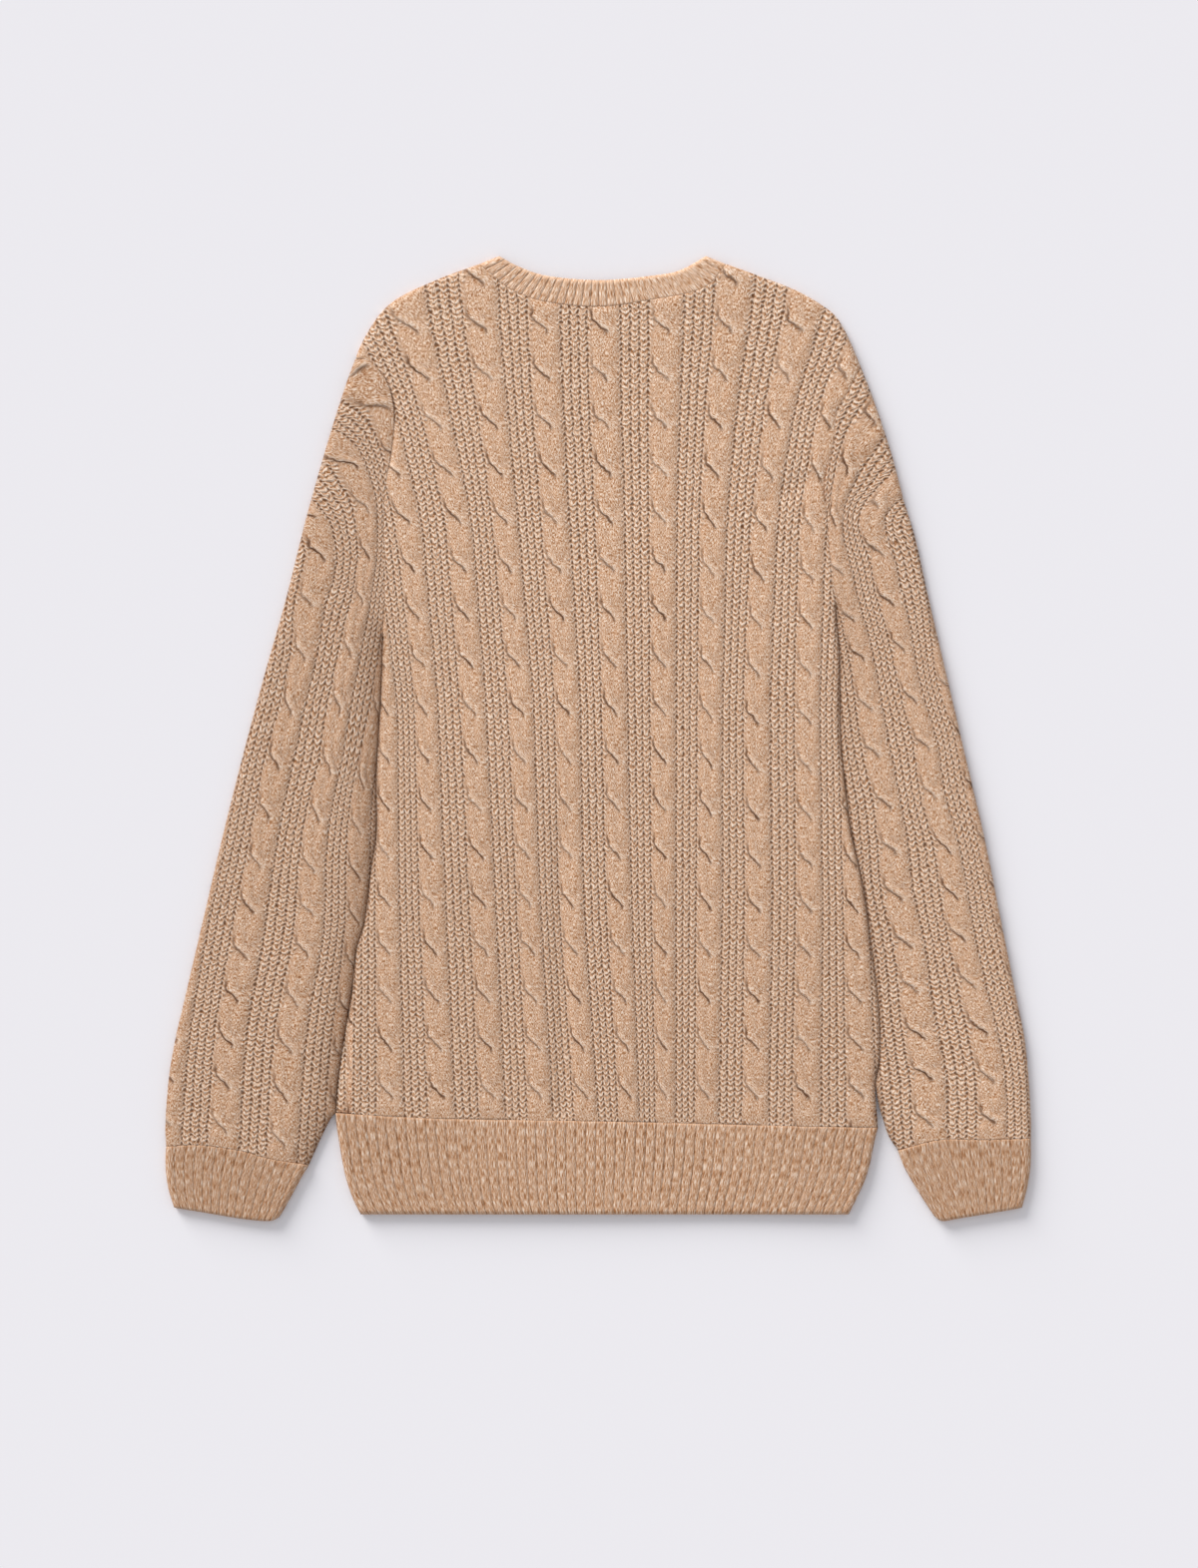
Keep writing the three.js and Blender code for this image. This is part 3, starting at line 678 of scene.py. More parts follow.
@dataclass
class BackPanel:
    """The back of the body, uppermost, with its eleven cables."""

    knit: CableKnit = field(default_factory=CableKnit)
    columns_per_cable: int = 12
    columns_per_ground: int = 14
    row_step: float = COURSE / 2

    def outline(self) -> np.ndarray:
        """The panel's edge, anticlockwise from the left end of the neck seam."""
        return closed([
            curve_through(NECK_SEAM), curve_through(RIGHT_SHOULDER), curve_through(RIGHT_ARMHOLE),
            curve_through(RIGHT_SIDE), curve_through(HEM_SEAM)[::-1], curve_through(LEFT_SIDE)[::-1],
            curve_through(LEFT_ARMHOLE)[::-1], curve_through(LEFT_SHOULDER)[::-1],
        ])

    def centres(self, y: np.ndarray) -> np.ndarray:
        """Where the cables run.

        Args:
            y: Places along the body.

        Returns:
            x of each cable, one row for each y.
        """
        dense = np.arange(-330.0, 400.0, 2.0)
        at = np.array([row[0] for row in BODY_CABLES[::-1]], float)
        found = []
        for k in range(len(BODY_CABLES[0][1])):
            x = np.interp(dense, at, [row[1][k] for row in BODY_CABLES[::-1]])
            padded = np.pad(x, 24, "reflect", reflect_type="odd")
            box = np.ones(17) / 17
            soft = np.convolve(np.convolve(padded, box, "same"), box, "same")[24:-24]
            found.append(np.interp(y, dense, soft))
        return np.stack(found, -1)

    def lanes(self) -> np.ndarray:
        """Lane numbers of the grid's columns, dense in cables and ground alike."""
        cable = np.linspace(-CABLE_HALF_LANE, CABLE_HALF_LANE, self.columns_per_cable + 1)[:-1]
        ground = np.linspace(CABLE_HALF_LANE, 1 - CABLE_HALF_LANE, self.columns_per_ground + 1)[:-1]
        one = np.concatenate([cable, ground])
        lanes = np.concatenate([one + k for k in range(-1, 12)])
        return lanes[(lanes > -0.76) & (lanes < 10.76)]

    def sag(self, x: np.ndarray, y: np.ndarray) -> np.ndarray:
        """How far the courses hang lower, towards the right of the body."""
        return 7.0 * smooth(55, 120, x) * smooth(250, 120, y) * smooth(-220, -60, y)

    def grid(self) -> tuple[np.ndarray, np.ndarray, np.ndarray]:
        """The panel's points in plan, which follow the cables and end at its outline.

        Returns:
            The points (n, 2), the lane of each, and the faces (m, 4).
        """
        y = np.arange(-298.0, 362.0, self.row_step)
        lanes = self.lanes()
        centres = self.centres(y)
        low = np.clip(np.floor(lanes).astype(int), 0, centres.shape[1] - 2)
        part = lanes - low
        x = centres[:, low] * (1 - part) + centres[:, low + 1] * part
        yy = np.repeat(y[:, None], len(lanes), 1)
        lane = np.repeat(lanes[None], len(y), 0)
        points = np.stack([x, yy], -1).reshape(-1, 2)
        loop = self.outline()
        held = inside(points, loop)
        _, nearest = distance_to(points, np.vstack([loop, loop[:1]]))
        points = np.where(held[:, None], points, nearest)
        faces = grid_faces(len(y), len(lanes))
        return points, lane.ravel(), faces[held[faces].sum(1) >= 1]

    def build(self, finish: bpy.types.Material) -> bpy.types.Object:
        """Makes the panel.

        Args:
            finish: Its material.

        Returns:
            The piece.
        """
        points, lane, faces = self.grid()
        turn = (points[:, 1] + self.sag(points[:, 0], points[:, 1]) - FIRST_CROSSING_Y) / CROSSING_PITCH
        relief = self.knit.relief(lane, turn)
        fade = np.ones(len(points))
        for line, reach in BODY_SEAMS:
            away, _ = distance_to(points, curve_through(line))
            fade = np.minimum(fade, SEAM_RELIEF + (1 - SEAM_RELIEF) * smooth(0.0, reach, away))
        z = BACK_GROUND + relief.height * fade
        z += billow(points, BILLOW) - fold_depth(points, BODY_FOLDS)
        # Each edge rolls down and gets its painted shade.
        for edge in BODY_EDGES:
            away, _ = distance_to(points, curve_through(edge.line))
            z -= roll_off(away, edge.radius, edge.drop)
            relief.shade = np.maximum(relief.shade, edge.shade * np.exp(-((away / edge.wide) ** 2)))
        z = np.maximum(z, BACK_BASE + LEAST_WALL)
        # Painted shade: the body gets a little darker towards the hem, as the light falls off.
        relief.shade += 0.02 + 0.11 * smooth(230, -290, points[:, 1])
        top = np.column_stack([points, z])
        return slab(top, faces, BACK_BASE, relief).piece("back_knit", finish)


@dataclass
class FrontPanel:
    """The front of the body, underneath, flat where it rests."""

    step: float = 5.0

    def outline(self) -> np.ndarray:
        """The panel's edge."""
        step = self.step
        return closed([
            curve_through(FRONT_NECK_SEAM, step), curve_through(RIGHT_SHOULDER, step),
            curve_through(RIGHT_ARMHOLE, step), curve_through(RIGHT_SIDE, step),
            curve_through(HEM_SEAM, step)[::-1], curve_through(LEFT_SIDE, step)[::-1],
            curve_through(LEFT_ARMHOLE, step)[::-1], curve_through(LEFT_SHOULDER, step)[::-1],
        ])

    def build(self, finish: bpy.types.Material) -> bpy.types.Object:
        """Makes the panel of that material."""
        return padded_layer("front_knit", self.outline(), Stitch.CABLE, finish)


@dataclass
class HemFront:
    """The front half of the hem rib, underneath."""

    step: float = 5.0

    def outline(self) -> np.ndarray:
        """The band's edge."""
        return closed([
            curve_through(HEM_SEAM, self.step), curve_through(RIGHT_HEM_SIDE, self.step),
            curve_through(HEM_EDGE, self.step)[::-1], curve_through(LEFT_HEM_SIDE, self.step)[::-1],
        ])

    def build(self, finish: bpy.types.Material) -> bpy.types.Object:
        """Makes the band of that material."""
        return padded_layer("hem_front_rib", self.outline(), Stitch.RIB, finish)


@dataclass
class NeckbandFront:
    """The front half of the neckband, underneath, deeper than the back's."""

    step: float = 4.0
    end_step: float = 5.0

    def outline(self) -> np.ndarray:
        """The band's edge."""
        right_end: Line = [FRONT_NECK_TOP[-1], FRONT_NECK_SEAM[-1]]
        left_end: Line = [FRONT_NECK_SEAM[0], FRONT_NECK_TOP[0]]
        return closed([
            curve_through(FRONT_NECK_TOP, self.step), curve_through(right_end, self.end_step),
            curve_through(FRONT_NECK_SEAM, self.step)[::-1], curve_through(left_end, self.end_step),
        ])

    def build(self, finish: bpy.types.Material) -> bpy.types.Object:
        """Makes the band of that material."""
        return padded_layer("neckband_front_rib", self.outline(), Stitch.RIB, finish)


def padded_layer(
    name: str, loop: np.ndarray, stitch: Stitch, finish: bpy.types.Material
) -> bpy.types.Object:
    """A layer that rests on the table, its edge rounded under.

    Args:
        name: The piece's name.
        loop: Its edge.
        stitch: Its stitches.
        finish: Its material.

    Returns:
        The piece.
    """
    if polygon_area(loop) < 0:
        loop = loop[::-1]
    count = len(loop)
    points = np.vstack([
        np.column_stack([inset_loop(loop, inset), np.full(count, z)]) for z, inset in LAYER_RINGS
    ])
    faces = grid_faces(len(LAYER_RINGS), count, wraps=True).tolist()
    last = (len(LAYER_RINGS) - 1) * count
    faces.append(list(range(count))[::-1])
    faces.append(list(range(last, last + count)))
    return Cloth(points, faces, points[:, :2] / stitch.value, np.zeros(len(points))).piece(name, finish)


def polygon_area(loop: np.ndarray) -> float:
    """The area in a loop, positive if it runs anticlockwise."""
    x, y = loop[:, 0], loop[:, 1]
    return float((x * np.roll(y, -1) - np.roll(x, -1) * y).sum() / 2)


def inset_loop(loop: np.ndarray, distance: float) -> np.ndarray:
    """The loop moved in.

    Args:
        loop: The loop, anticlockwise.
        distance: How far.

    Returns:
        The moved loop.
    """
    before = loop - np.roll(loop, 1, axis=0)
    after = np.roll(loop, -1, axis=0) - loop
    before /= np.linalg.norm(before, axis=1)[:, None]
    after /= np.linalg.norm(after, axis=1)[:, None]
    inward = np.stack([-before[:, 1] - after[:, 1], before[:, 0] + after[:, 0]], -1)
    inward /= np.maximum(np.linalg.norm(inward, axis=1), 1e-9)[:, None]
    lean = np.maximum(0.6, (inward * np.stack([-before[:, 1], before[:, 0]], -1)).sum(1))
    return loop + inward * (distance / lean)[:, None]


def tube(
    name: str, top: np.ndarray, relief: Relief, stitch: Stitch, finish: bpy.types.Material
) -> bpy.types.Object:
    """A tube that lies flat: a modelled upper side, folded sides, a flat underside and a thin hollow.

    Args:
        name: The piece's name.
        top: The upper side's points, (rows, columns, 3), from fold to fold.
        relief: What they carry, in the same order.
        stitch: The stitches that go round it.
        finish: Its material.

    Returns:
        The piece.
    """
    rows, columns, _ = top.shape
    across = top[:, -1, :2] - top[:, 0, :2]
    width = np.linalg.norm(across, axis=1)
    unit = across / width[:, None]
    low: list[np.ndarray] = []
    for inset, z in TUBE_FOLD:
        low.append(np.column_stack([top[:, -1, :2] - unit * inset, np.full(rows, z)]))
    for part in TUBE_UNDERSIDE:
        column = round((1 - part) * (columns - 1))
        low.append(np.column_stack([top[:, column, :2], np.zeros(rows)]))
    for inset, z in TUBE_FOLD[::-1]:
        low.append(np.column_stack([top[:, 0, :2] + unit * inset, np.full(rows, z)]))
    ring = np.concatenate([top, np.stack(low, 1)], axis=1)
    around = ring.shape[1]
    # Each half of the underside takes its shade from the fold next to it.
    half = len(TUBE_FOLD) + len(TUBE_UNDERSIDE) // 2
    source = np.concatenate([np.arange(columns), np.full(half, columns - 1), np.full(half, 0)])
    every = (np.arange(rows)[:, None] * columns + source[None]).ravel()
    outer_map = relief.map[every].reshape(rows, around, 2).copy()
    low_at = np.arange(columns, around)
    beyond = np.linalg.norm(ring[:, low_at, :2] - ring[:, columns - 1 : columns, :2], axis=2)
    outer_map[:, low_at] = outer_map[:, columns - 1 : columns]
    outer_map[:, low_at, 0] += beyond / stitch.value[0]
    # The hollow needs few rows. It stops short of the folds.
    picks = np.linspace(0, rows - 1, 9).round().astype(int)
    hollow = ring[picks].copy()
    part_across = np.einsum("rck,rk->rc", hollow[..., :2] - hollow[:, :1, :2], unit[picks])
    fold_wall = 3.6
    held = np.clip(part_across, fold_wall, width[picks][:, None] - fold_wall)
    hollow[..., 0] += (held - part_across) * unit[picks][:, None, 0]
    hollow[..., 1] += (held - part_across) * unit[picks][:, None, 1]
    hollow[:, :columns, 2] = SLOT_HIGH
    hollow[:, columns:, 2] = SLOT_LOW
    outer_faces = grid_faces(rows, around, wraps=True)
    inner_faces = grid_faces(len(picks), around, wraps=True)[:, ::-1] + rows * around
    c = np.arange(around)
    n = (c + 1) % around
    inner = rows * around
    start = np.stack([c, inner + c, inner + n, n], -1)
    far = (rows - 1) * around
    far_inner = inner + (len(picks) - 1) * around
    end = np.stack([far + n, far_inner + n, far_inner + c, far + c], -1)
    points = np.concatenate([ring.reshape(-1, 3), hollow.reshape(-1, 3)])
    shade = relief.shade[every].reshape(rows, around)
    cloth = Cloth(
        points, np.concatenate([outer_faces, inner_faces, start, end]).tolist(),
        np.concatenate([outer_map.reshape(-1, 2), outer_map[picks].reshape(-1, 2)]),
        np.concatenate([shade.ravel(), np.zeros(len(picks) * around)]),
    )
    if signed_volume(points, outer_faces) < 0:
        cloth.faces = [face[::-1] for face in cloth.faces]
    return cloth.piece(name, finish)


def signed_volume(points: np.ndarray, faces: np.ndarray) -> float:
    """Six times the volume that four-sided faces enclose, positive if they face out."""
    a, b, c, d = (points[faces[:, i]] for i in range(4))
    return float((a * np.cross(b, c)).sum() + (a * np.cross(c, d)).sum())


@dataclass
class Sleeve:
    """A sleeve, a tapered tube whose cables curve into the armhole.

    Beside the body it dips by side_dip and gets painted shade by side_shade; its outer fold gets painted
    shade by rim_shade, and all of it by slow_shade.
    """

    name: str
    outer: Line
    armhole: Line
    side: Line
    inner: Line
    cuff_seam: Line
    crossings: list[tuple[float, float, float, float]]
    side_dip: float
    side_shade: float
    slow_shade: float
    rim_shade: float
    rows: int = 500
    columns: int = 124
    knit: CableKnit = field(default_factory=CableKnit)

    def build(self, finish: bpy.types.Material) -> bpy.types.Object:
        """Makes the sleeve.

        Args:
            finish: Its material.

        Returns:
            The piece.
        """
        across = np.linspace(0, 1, self.columns)
        along = np.linspace(0, 1, self.rows)
        outer = curve_through(self.outer)[::-1]
        inner = np.vstack([curve_through(self.inner)[::-1], curve_through(self.side)[::-1][1:]])
        armhole = curve_through(self.armhole)
        seam = curve_through(self.cuff_seam)
        grid = patch(
            along_line(seam, across), along_line(armhole, across),
            along_line(outer, along), along_line(inner, along),
        )
        flat = grid.reshape(-1, 2)
        known = np.array(self.crossings, float)
        fields = FieldThroughPoints(known[:, 2:], known[:, :2]).at(flat)
        relief = self.knit.relief(fields[:, 0], fields[:, 1])
        to_outer, _ = distance_to(flat, outer)
        to_armhole, _ = distance_to(flat, armhole)
        to_cuff, _ = distance_to(flat, seam)
        to_side = np.minimum(distance_to(flat, curve_through(self.side))[0],
                             distance_to(flat, curve_through(self.inner))[0])
        fade = np.minimum(smooth(0.0, 5.0, to_armhole), smooth(0.0, 9.0, to_cuff))
        fade = SEAM_RELIEF + (1 - SEAM_RELIEF) * fade
        z = TUBE_GROUND + relief.height * fade + billow(flat, BILLOW)
        z -= roll_off(to_outer, 5.5, 3.5)
        z -= roll_off(to_side, 5.0, 3.2) + self.side_dip * np.exp(-((to_side / 15) ** 2))
        z -= roll_off(to_armhole, 3.0, 0.25) + roll_off(to_cuff, 2.4, 0.15)
        z = np.maximum(z, SLOT_HIGH + LEAST_ROOF)
        # Painted shade beside the body, along the outer fold, and over the whole sleeve.
        for away, wide, shade in (
            (to_side, 2.4, 0.5), (to_side, 13.0, self.side_shade), (to_outer, 3.0, self.rim_shade),
        ):
            relief.shade = np.maximum(relief.shade, shade * np.exp(-((away / wide) ** 2)))
        relief.shade += self.slow_shade
        top = np.concatenate([grid, z.reshape(self.rows, self.columns, 1)], axis=2)
        return tube(self.name, top, relief, Stitch.CABLE, finish)


@dataclass
class RibBand:
    """A band of rib between four lines.

    The ribs run from bottom to top and are counted from start to end. slow_shade is painted shade over
    all of it.
    """

    name: str
    bottom: Line
    top: Line
    start: Line
    end: Line
    ribs: int
    courses: float
    columns_per_rib: int = 8
    rows: int = 40
    slow_shade: float = 0.0
    knit: RibKnit = field(default_factory=RibKnit)

    def surface(self) -> tuple[np.ndarray, Relief, np.ndarray]:
        """The upper side's points in plan, their relief, and how far they are from its edges.

        Returns:
            The grid (rows, columns, 2), the relief, and the distances to the lines (n, 4).
        """
        columns = self.ribs * self.columns_per_rib + 1
        across = np.linspace(0, 1, columns)
        along = np.linspace(0, 1, self.rows)
        bottom, top = curve_through(self.bottom), curve_through(self.top)
        start, end = curve_through(self.start), curve_through(self.end)
        grid = patch(
            along_line(bottom, across), along_line(top, across),
            along_line(start, along), along_line(end, along),
        )
        rib = np.repeat((across * self.ribs)[None], self.rows, 0).ravel()
        course = np.repeat((along * self.courses)[:, None], columns, 1).ravel()
        relief = self.knit.relief(rib, course)
        flat = grid.reshape(-1, 2)
        gaps = np.stack([distance_to(flat, line)[0] for line in (bottom, top, start, end)], -1)
        return grid, relief, gaps


@dataclass
class HemBack(RibBand):
    """The hem rib of the back."""

    def build(self, finish: bpy.types.Material) -> bpy.types.Object:
        """Makes the band.

        Args:
            finish: Its material.

        Returns:
            The piece.
        """
        grid, relief, gaps = self.surface()
        flat = grid.reshape(-1, 2)
        z = BACK_GROUND + 0.8 * relief.height * smooth(0.0, 7.0, gaps[:, 1])
        z += billow(flat, BILLOW) - fold_depth(flat, BODY_FOLDS)
        z -= roll_off(gaps[:, 0], 2.2, 2.2)
        z -= roll_off(np.minimum(gaps[:, 2], gaps[:, 3]), 3.5, 2.8)
        z = np.maximum(z, BACK_BASE + LEAST_WALL)
        # Painted shade over the hem, least a little right of its middle.
        relief.shade = self.slow_shade + 0.07 * smooth(40, 180, np.abs(flat[:, 0] - 25))
        top = np.column_stack([flat, z])
        faces = grid_faces(grid.shape[0], grid.shape[1])
        return slab(top, faces, BACK_BASE, relief).piece(self.name, finish)


@dataclass
class Cuff(RibBand):
    """A cuff, a ribbed tube."""

    def build(self, finish: bpy.types.Material) -> bpy.types.Object:
        """Makes the cuff.

        Args:
            finish: Its material.

        Returns:
            The piece.
        """
        grid, relief, gaps = self.surface()
        flat = grid.reshape(-1, 2)
        z = TUBE_GROUND + 0.6 * relief.height + billow(flat, BILLOW)
        z -= roll_off(gaps[:, 0], 2.2, 1.8) + roll_off(gaps[:, 1], 2.0, 0.3)
        z -= roll_off(np.minimum(gaps[:, 2], gaps[:, 3]), 4.5, 3.3)
        z = np.maximum(z, SLOT_HIGH + LEAST_ROOF)
        # Painted shade over the whole cuff.
        relief.shade = np.full(len(flat), self.slow_shade)
        top = np.concatenate([grid, z.reshape(*grid.shape[:2], 1)], axis=2)
        return tube(self.name, top, relief, Stitch.RIB, finish)


@dataclass
class NeckbandBack(RibBand):
    """The upper half of the neckband."""

    def build(self, finish: bpy.types.Material) -> bpy.types.Object:
        """Makes the band.

        Args:
            finish: Its material.

        Returns:
            The piece.
        """
        grid, relief, gaps = self.surface()
        flat = grid.reshape(-1, 2)
        z = BACK_GROUND + relief.height
        z -= roll_off(gaps[:, 1], 3.5, 2.8) + roll_off(gaps[:, 0], 2.0, 0.15)
        z -= roll_off(np.minimum(gaps[:, 2], gaps[:, 3]), 3.5, 2.8)
        z = np.maximum(z, BACK_BASE + LEAST_WALL)
        # Painted shade along the seam.
        relief.shade = 0.04 * np.exp(-((gaps[:, 0] / 1.5) ** 2))
        top = np.column_stack([flat, z])
        faces = grid_faces(grid.shape[0], grid.shape[1])
        return slab(top, faces, BACK_BASE, relief).piece(self.name, finish)


def linear(hex_colour: str) -> tuple[float, float, float, float]:
    """A colour as Blender wants it.

    Args:
        hex_colour: sRGB as six hex digits.

    Returns:
        Linear red, green, blue and alpha.
    """
    parts = [int(hex_colour[i : i + 2], 16) / 255 for i in (0, 2, 4)]
    return tuple(c / 12.92 if c <= 0.04045 else ((c + 0.055) / 1.055) ** 2.4 for c in parts) + (1.0,)


MATH = "ShaderNodeMath"
RANGE = "ShaderNodeMapRange"
Socket = bpy.types.NodeSocket
# The colour inputs of a Mix node.
MIX_A, MIX_B = 6, 7


class Bench:
    """Builds the node tree of one material."""

    def __init__(self, name: str) -> None:
        """Starts a material of that name with an empty tree."""
        self.material = bpy.data.materials.new(name)
        self.material.use_nodes = True
        self.tree = self.material.node_tree
        self.tree.nodes.clear()

    def add(
        self, kind: str, *values: object, named: dict[str | int, object] | None = None,
        out: int | str = 0, **settings: object,
    ) -> Socket | None:
        """Adds one node.

        Args:
            kind: The node's type.
            values: Values or sockets for its first inputs, in order.
            named: Values or sockets for inputs by name or number.
            out: The output that is wanted.
            settings: Its own settings.

        Returns:
            That output, where the node has outputs.
        """
        node = self.tree.nodes.new(kind)
        for key, value in settings.items():
            setattr(node, key, value)
        for key, value in [*enumerate(values), *(named or {}).items()]:
            if isinstance(value, bpy.types.NodeSocket):
                self.tree.links.new(value, node.inputs[key])
            else:
                node.inputs[key].default_value = value
        return node.outputs[out] if node.outputs else None


@dataclass(frozen=True)
class MarledWool:
    """Marled lambswool, plied from camel and cream yarn and knitted.

    The eye gets a matt, slightly hairy surface whose pale and brown flecks, about 0.5 by 2 mm, run along
    the yarn. Where stitches part, the holes get painted shade.
    """

    name: str
    brown: str = "9a6943"
    camel: str = "c69774"
    sand: str = "dab696"
    cream: str = "f5e2d1"
    # The colour of painted shade, in the gaps between stitches, the cable lines and the rib valleys.
    hole_shade: str = "5a3821"
    fleck_wide: float = 0.5
    fleck_long: float = 2.0
    fleck_lift: float = 0.4
    hole_lift: float = 0.8

    def stitch_place(
        self, bench: Bench, fineness: float, wander: tuple[float, float, float]
    ) -> tuple[Socket, Socket, Socket]:
        """Reads where a point lies among the stitches. None lies quite like the next, so places wander.

        Args:
            bench: The material's tree.
            fineness: How fast the wandering changes.
            wander: How far it goes across and along.

        Returns:
            The point in the row frame, and the two numbers of its stitch map.
        """
        add = bench.add
        spot = add("ShaderNodeTexCoord", out="Object")
        loose = add("ShaderNodeTexNoise", out=1, named={
            "Vector": spot, "Scale": fineness, "Detail": 1.0})
        loose = add("ShaderNodeVectorMath", loose, (0.5, 0.5, 0.5), operation="SUBTRACT")
        loose = add("ShaderNodeVectorMath", loose, wander, operation="MULTIPLY")
        stitches = add("ShaderNodeUVMap", uv_map="stitches")
        place = add("ShaderNodeVectorMath", stitches, loose, operation="ADD")
        split = add("ShaderNodeSeparateXYZ", place).node.outputs
        return spot, split[0], split[1]

    def off_middle(self, bench: Bench, count: Socket) -> Socket:
        """How far a count is from midway between whole numbers, 1 at the whole ones."""
        off = bench.add(MATH, count, operation="FRACT")
        off = bench.add(MATH, off, 2.0, -1.0, operation="MULTIPLY_ADD")
        return bench.add(MATH, off, operation="ABSOLUTE")

    def dress(
        self, bench: Bench, across: Socket, along: Socket, dark: Socket, form: Socket, pale: Socket
    ) -> bpy.types.Material:
        """Colours the yarn and finishes the surface.

        Args:
            bench: The material's tree.
            across: Distance across the yarn, in mm.
            along: Distance along the yarn, in mm.
            dark: How much painted shade a point gets in the gaps and lines of the stitches, from 0 to 1.
            form: Height of the stitches, from 0 to 1.
            pale: What is added to the yarn's place between brown and cream, a tint with painted
                highlight on the legs and strands.

        Returns:
            The material.
        """
        add = bench.add
        place = add("ShaderNodeCombineXYZ",
                    add(MATH, across, 1 / self.fleck_wide, operation="MULTIPLY"),
                    add(MATH, along, 1 / self.fleck_long, operation="MULTIPLY"))
        fleck = add("ShaderNodeTexNoise", named={
            "Vector": place, "Scale": 1.0, "Detail": 2.0, "Roughness": 0.6})
        mixed = add(MATH, fleck, pale, operation="ADD")
        shades = add("ShaderNodeValToRGB", mixed)
        ramp = shades.node.color_ramp
        for _ in range(2):
            ramp.elements.new(0.5)
        stops = ((0.39, self.brown), (0.47, self.camel), (0.53, self.sand), (0.62, self.cream))
        for element, (stop, colour) in zip(ramp.elements, stops):
            element.position = stop
            element.color = linear(colour)
        # Painted shade: the stitches' own and the piece's darken the colour towards the shade colour.
        painted_shade = add("ShaderNodeAttribute", attribute_name="painted_shade", out="Fac")
        rest = add(MATH, 1.0, painted_shade, operation="SUBTRACT")
        deep = add(MATH, dark, rest, painted_shade, operation="MULTIPLY_ADD")
        tone = add("ShaderNodeMix", deep, named={MIX_A: shades, MIX_B: linear(self.hole_shade)}, out=2,
                   data_type="RGBA")
        height = add(MATH, fleck, self.fleck_lift, form, operation="MULTIPLY_ADD")
        height = add(MATH, dark, -self.hole_lift, height, operation="MULTIPLY_ADD")
        bump = add("ShaderNodeBump", named={"Strength": 0.5, "Distance": 0.0008, "Height": height})
        shader = add("ShaderNodeBsdfPrincipled", named={
            "Base Color": tone, "Roughness": 0.95, "IOR": 1.5, "Specular IOR Level": 0.15,
            "Sheen Weight": 0.1, "Sheen Roughness": 0.5, "Sheen Tint": linear("f3e4d2"), "Normal": bump,
        })
        add("ShaderNodeOutputMaterial", shader)
        return bench.material


